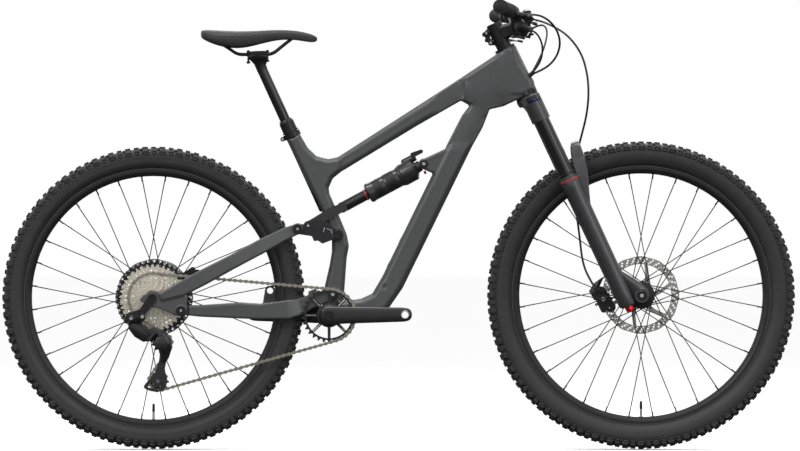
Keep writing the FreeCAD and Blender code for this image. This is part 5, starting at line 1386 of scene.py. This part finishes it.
def make_calipers():
    """Piston caps and bolts on both brake calipers."""
    front = Batch()
    bolt_cap(front, Vector((0.474, 0.0332, 0.347)), -1, 10.5, 2.2, 0.45)
    for x, z, radius in ((0.488, 0.326, 4.2), (0.462, 0.368, 4.2), (0.494, 0.362, 3.6), (0.458, 0.334, 3.4)):
        bolt_cap(front, Vector((x, 0.0332, z)), -1, radius, 2.0, 0.4)
    front.piece("front_caliper_fittings", "fork_lowers", "bolt_black", 30,
                materials=[LOOKS["bolt_black"], STEEL_BARE])
    rear = Batch()
    bolt_cap(rear, Vector((-0.488, 0.0758, 0.394)), 1, 10.5, 2.2, 0.45)
    for x, z in ((-0.470, 0.408), (-0.506, 0.378)):
        bolt_cap(rear, Vector((x, 0.0758, z)), 1, 4.2, 2.0, 0.4)
    rear.piece("rear_caliper_fittings", "seatstays", "bolt_black", 30,
               materials=[LOOKS["bolt_black"], STEEL_BARE])


# ---- studio -------------------------------------------------------------------------------------
FLOOR_HALF = 60.0
FLOOR_DROP = -0.0005
CAMERA_LENS = 350.6
CAMERA_PLACE = (0.0033, -18.0, 0.517)
LAMPS = (("key_left_front", (-3.2, -4.2, 3.4), (-0.1, 0, 0.5), (2.6, 2.2), 90),
         ("fill_right_front", (3.6, -4.0, 2.2), (0.2, 0, 0.5), (2.4, 2.4), 40),
         ("top_strip", (0.0, -0.6, 4.2), (0.0, 0, 0.5), (3.6, 1.2), 110),
         ("back_rim", (0.6, 4.4, 3.2), (0.0, 0, 0.6), (3.0, 1.6), 60))


def area_light(name, place, target, size, power):
    """A soft rectangular lamp aimed at a point."""
    lamp = bpy.data.lights.new(name, "AREA")
    lamp.shape = "RECTANGLE"
    lamp.size, lamp.size_y = size
    lamp.energy = power
    obj = new_object(name, lamp)
    obj.location = place
    obj.rotation_euler = (Vector(target) - Vector(place)).to_track_quat("-Z", "Y").to_euler()


def make_studio():
    """Pale floor, soft lamps and the camera."""
    mesh = bpy.data.meshes.new("studio_floor")
    mesh.from_pydata([(x * FLOOR_HALF, y * FLOOR_HALF, 0) for x, y in ((-1, -1), (1, -1), (1, 1), (-1, 1))],
                     [], [(0, 1, 2, 3)])
    mesh.materials.append(surface("pale_floor", (0.965, 0.965, 0.965), 0.8, 0, 0.005, 60, specular=0.0))
    floor = new_object("studio_floor", mesh)
    floor.location.z = FLOOR_DROP
    floor.visible_diffuse = False
    floor.visible_glossy = False
    world = bpy.data.worlds.new("studio")
    bpy.context.scene.world = world
    world.use_nodes = True
    nodes, links = world.node_tree.nodes, world.node_tree.links
    nodes["Background"].inputs["Color"].default_value = (1, 1, 1, 1)
    direction = nodes.new("ShaderNodeTexCoord")
    split = nodes.new("ShaderNodeSeparateXYZ")
    links.new(direction.outputs["Generated"], split.inputs["Vector"])
    height = nodes.new("ShaderNodeMapRange")
    for socket, value in (("From Min", -0.06), ("From Max", -0.02), ("To Min", 0.12), ("To Max", 1.0)):
        height.inputs[socket].default_value = value
    links.new(split.outputs["Z"], height.inputs["Value"])
    links.new(height.outputs["Result"], nodes["Background"].inputs["Strength"])
    for lamp in LAMPS:
        area_light(*lamp)
    camera = bpy.data.cameras.new("camera")
    camera.sensor_width = 36
    camera.lens = CAMERA_LENS
    camera.clip_end = 200
    eye = new_object("camera", camera)
    eye.location = CAMERA_PLACE
    eye.rotation_euler = (radians(90), 0, 0)
    bpy.context.scene.camera = eye
    bpy.context.scene.view_settings.view_transform = "Standard"


for make_part in (make_studio, make_wheels, make_cassette, make_chainring, make_chain, make_pulleys,
                  make_cables, make_saddle, make_post, make_grips, make_fork, make_bar, make_brakes,
                  make_cranks, make_shock, make_skins, make_pivot_caps, make_frame_hardware,
                  make_stem_bolts, make_crown_details, make_derailleur, make_calipers):
    make_part()
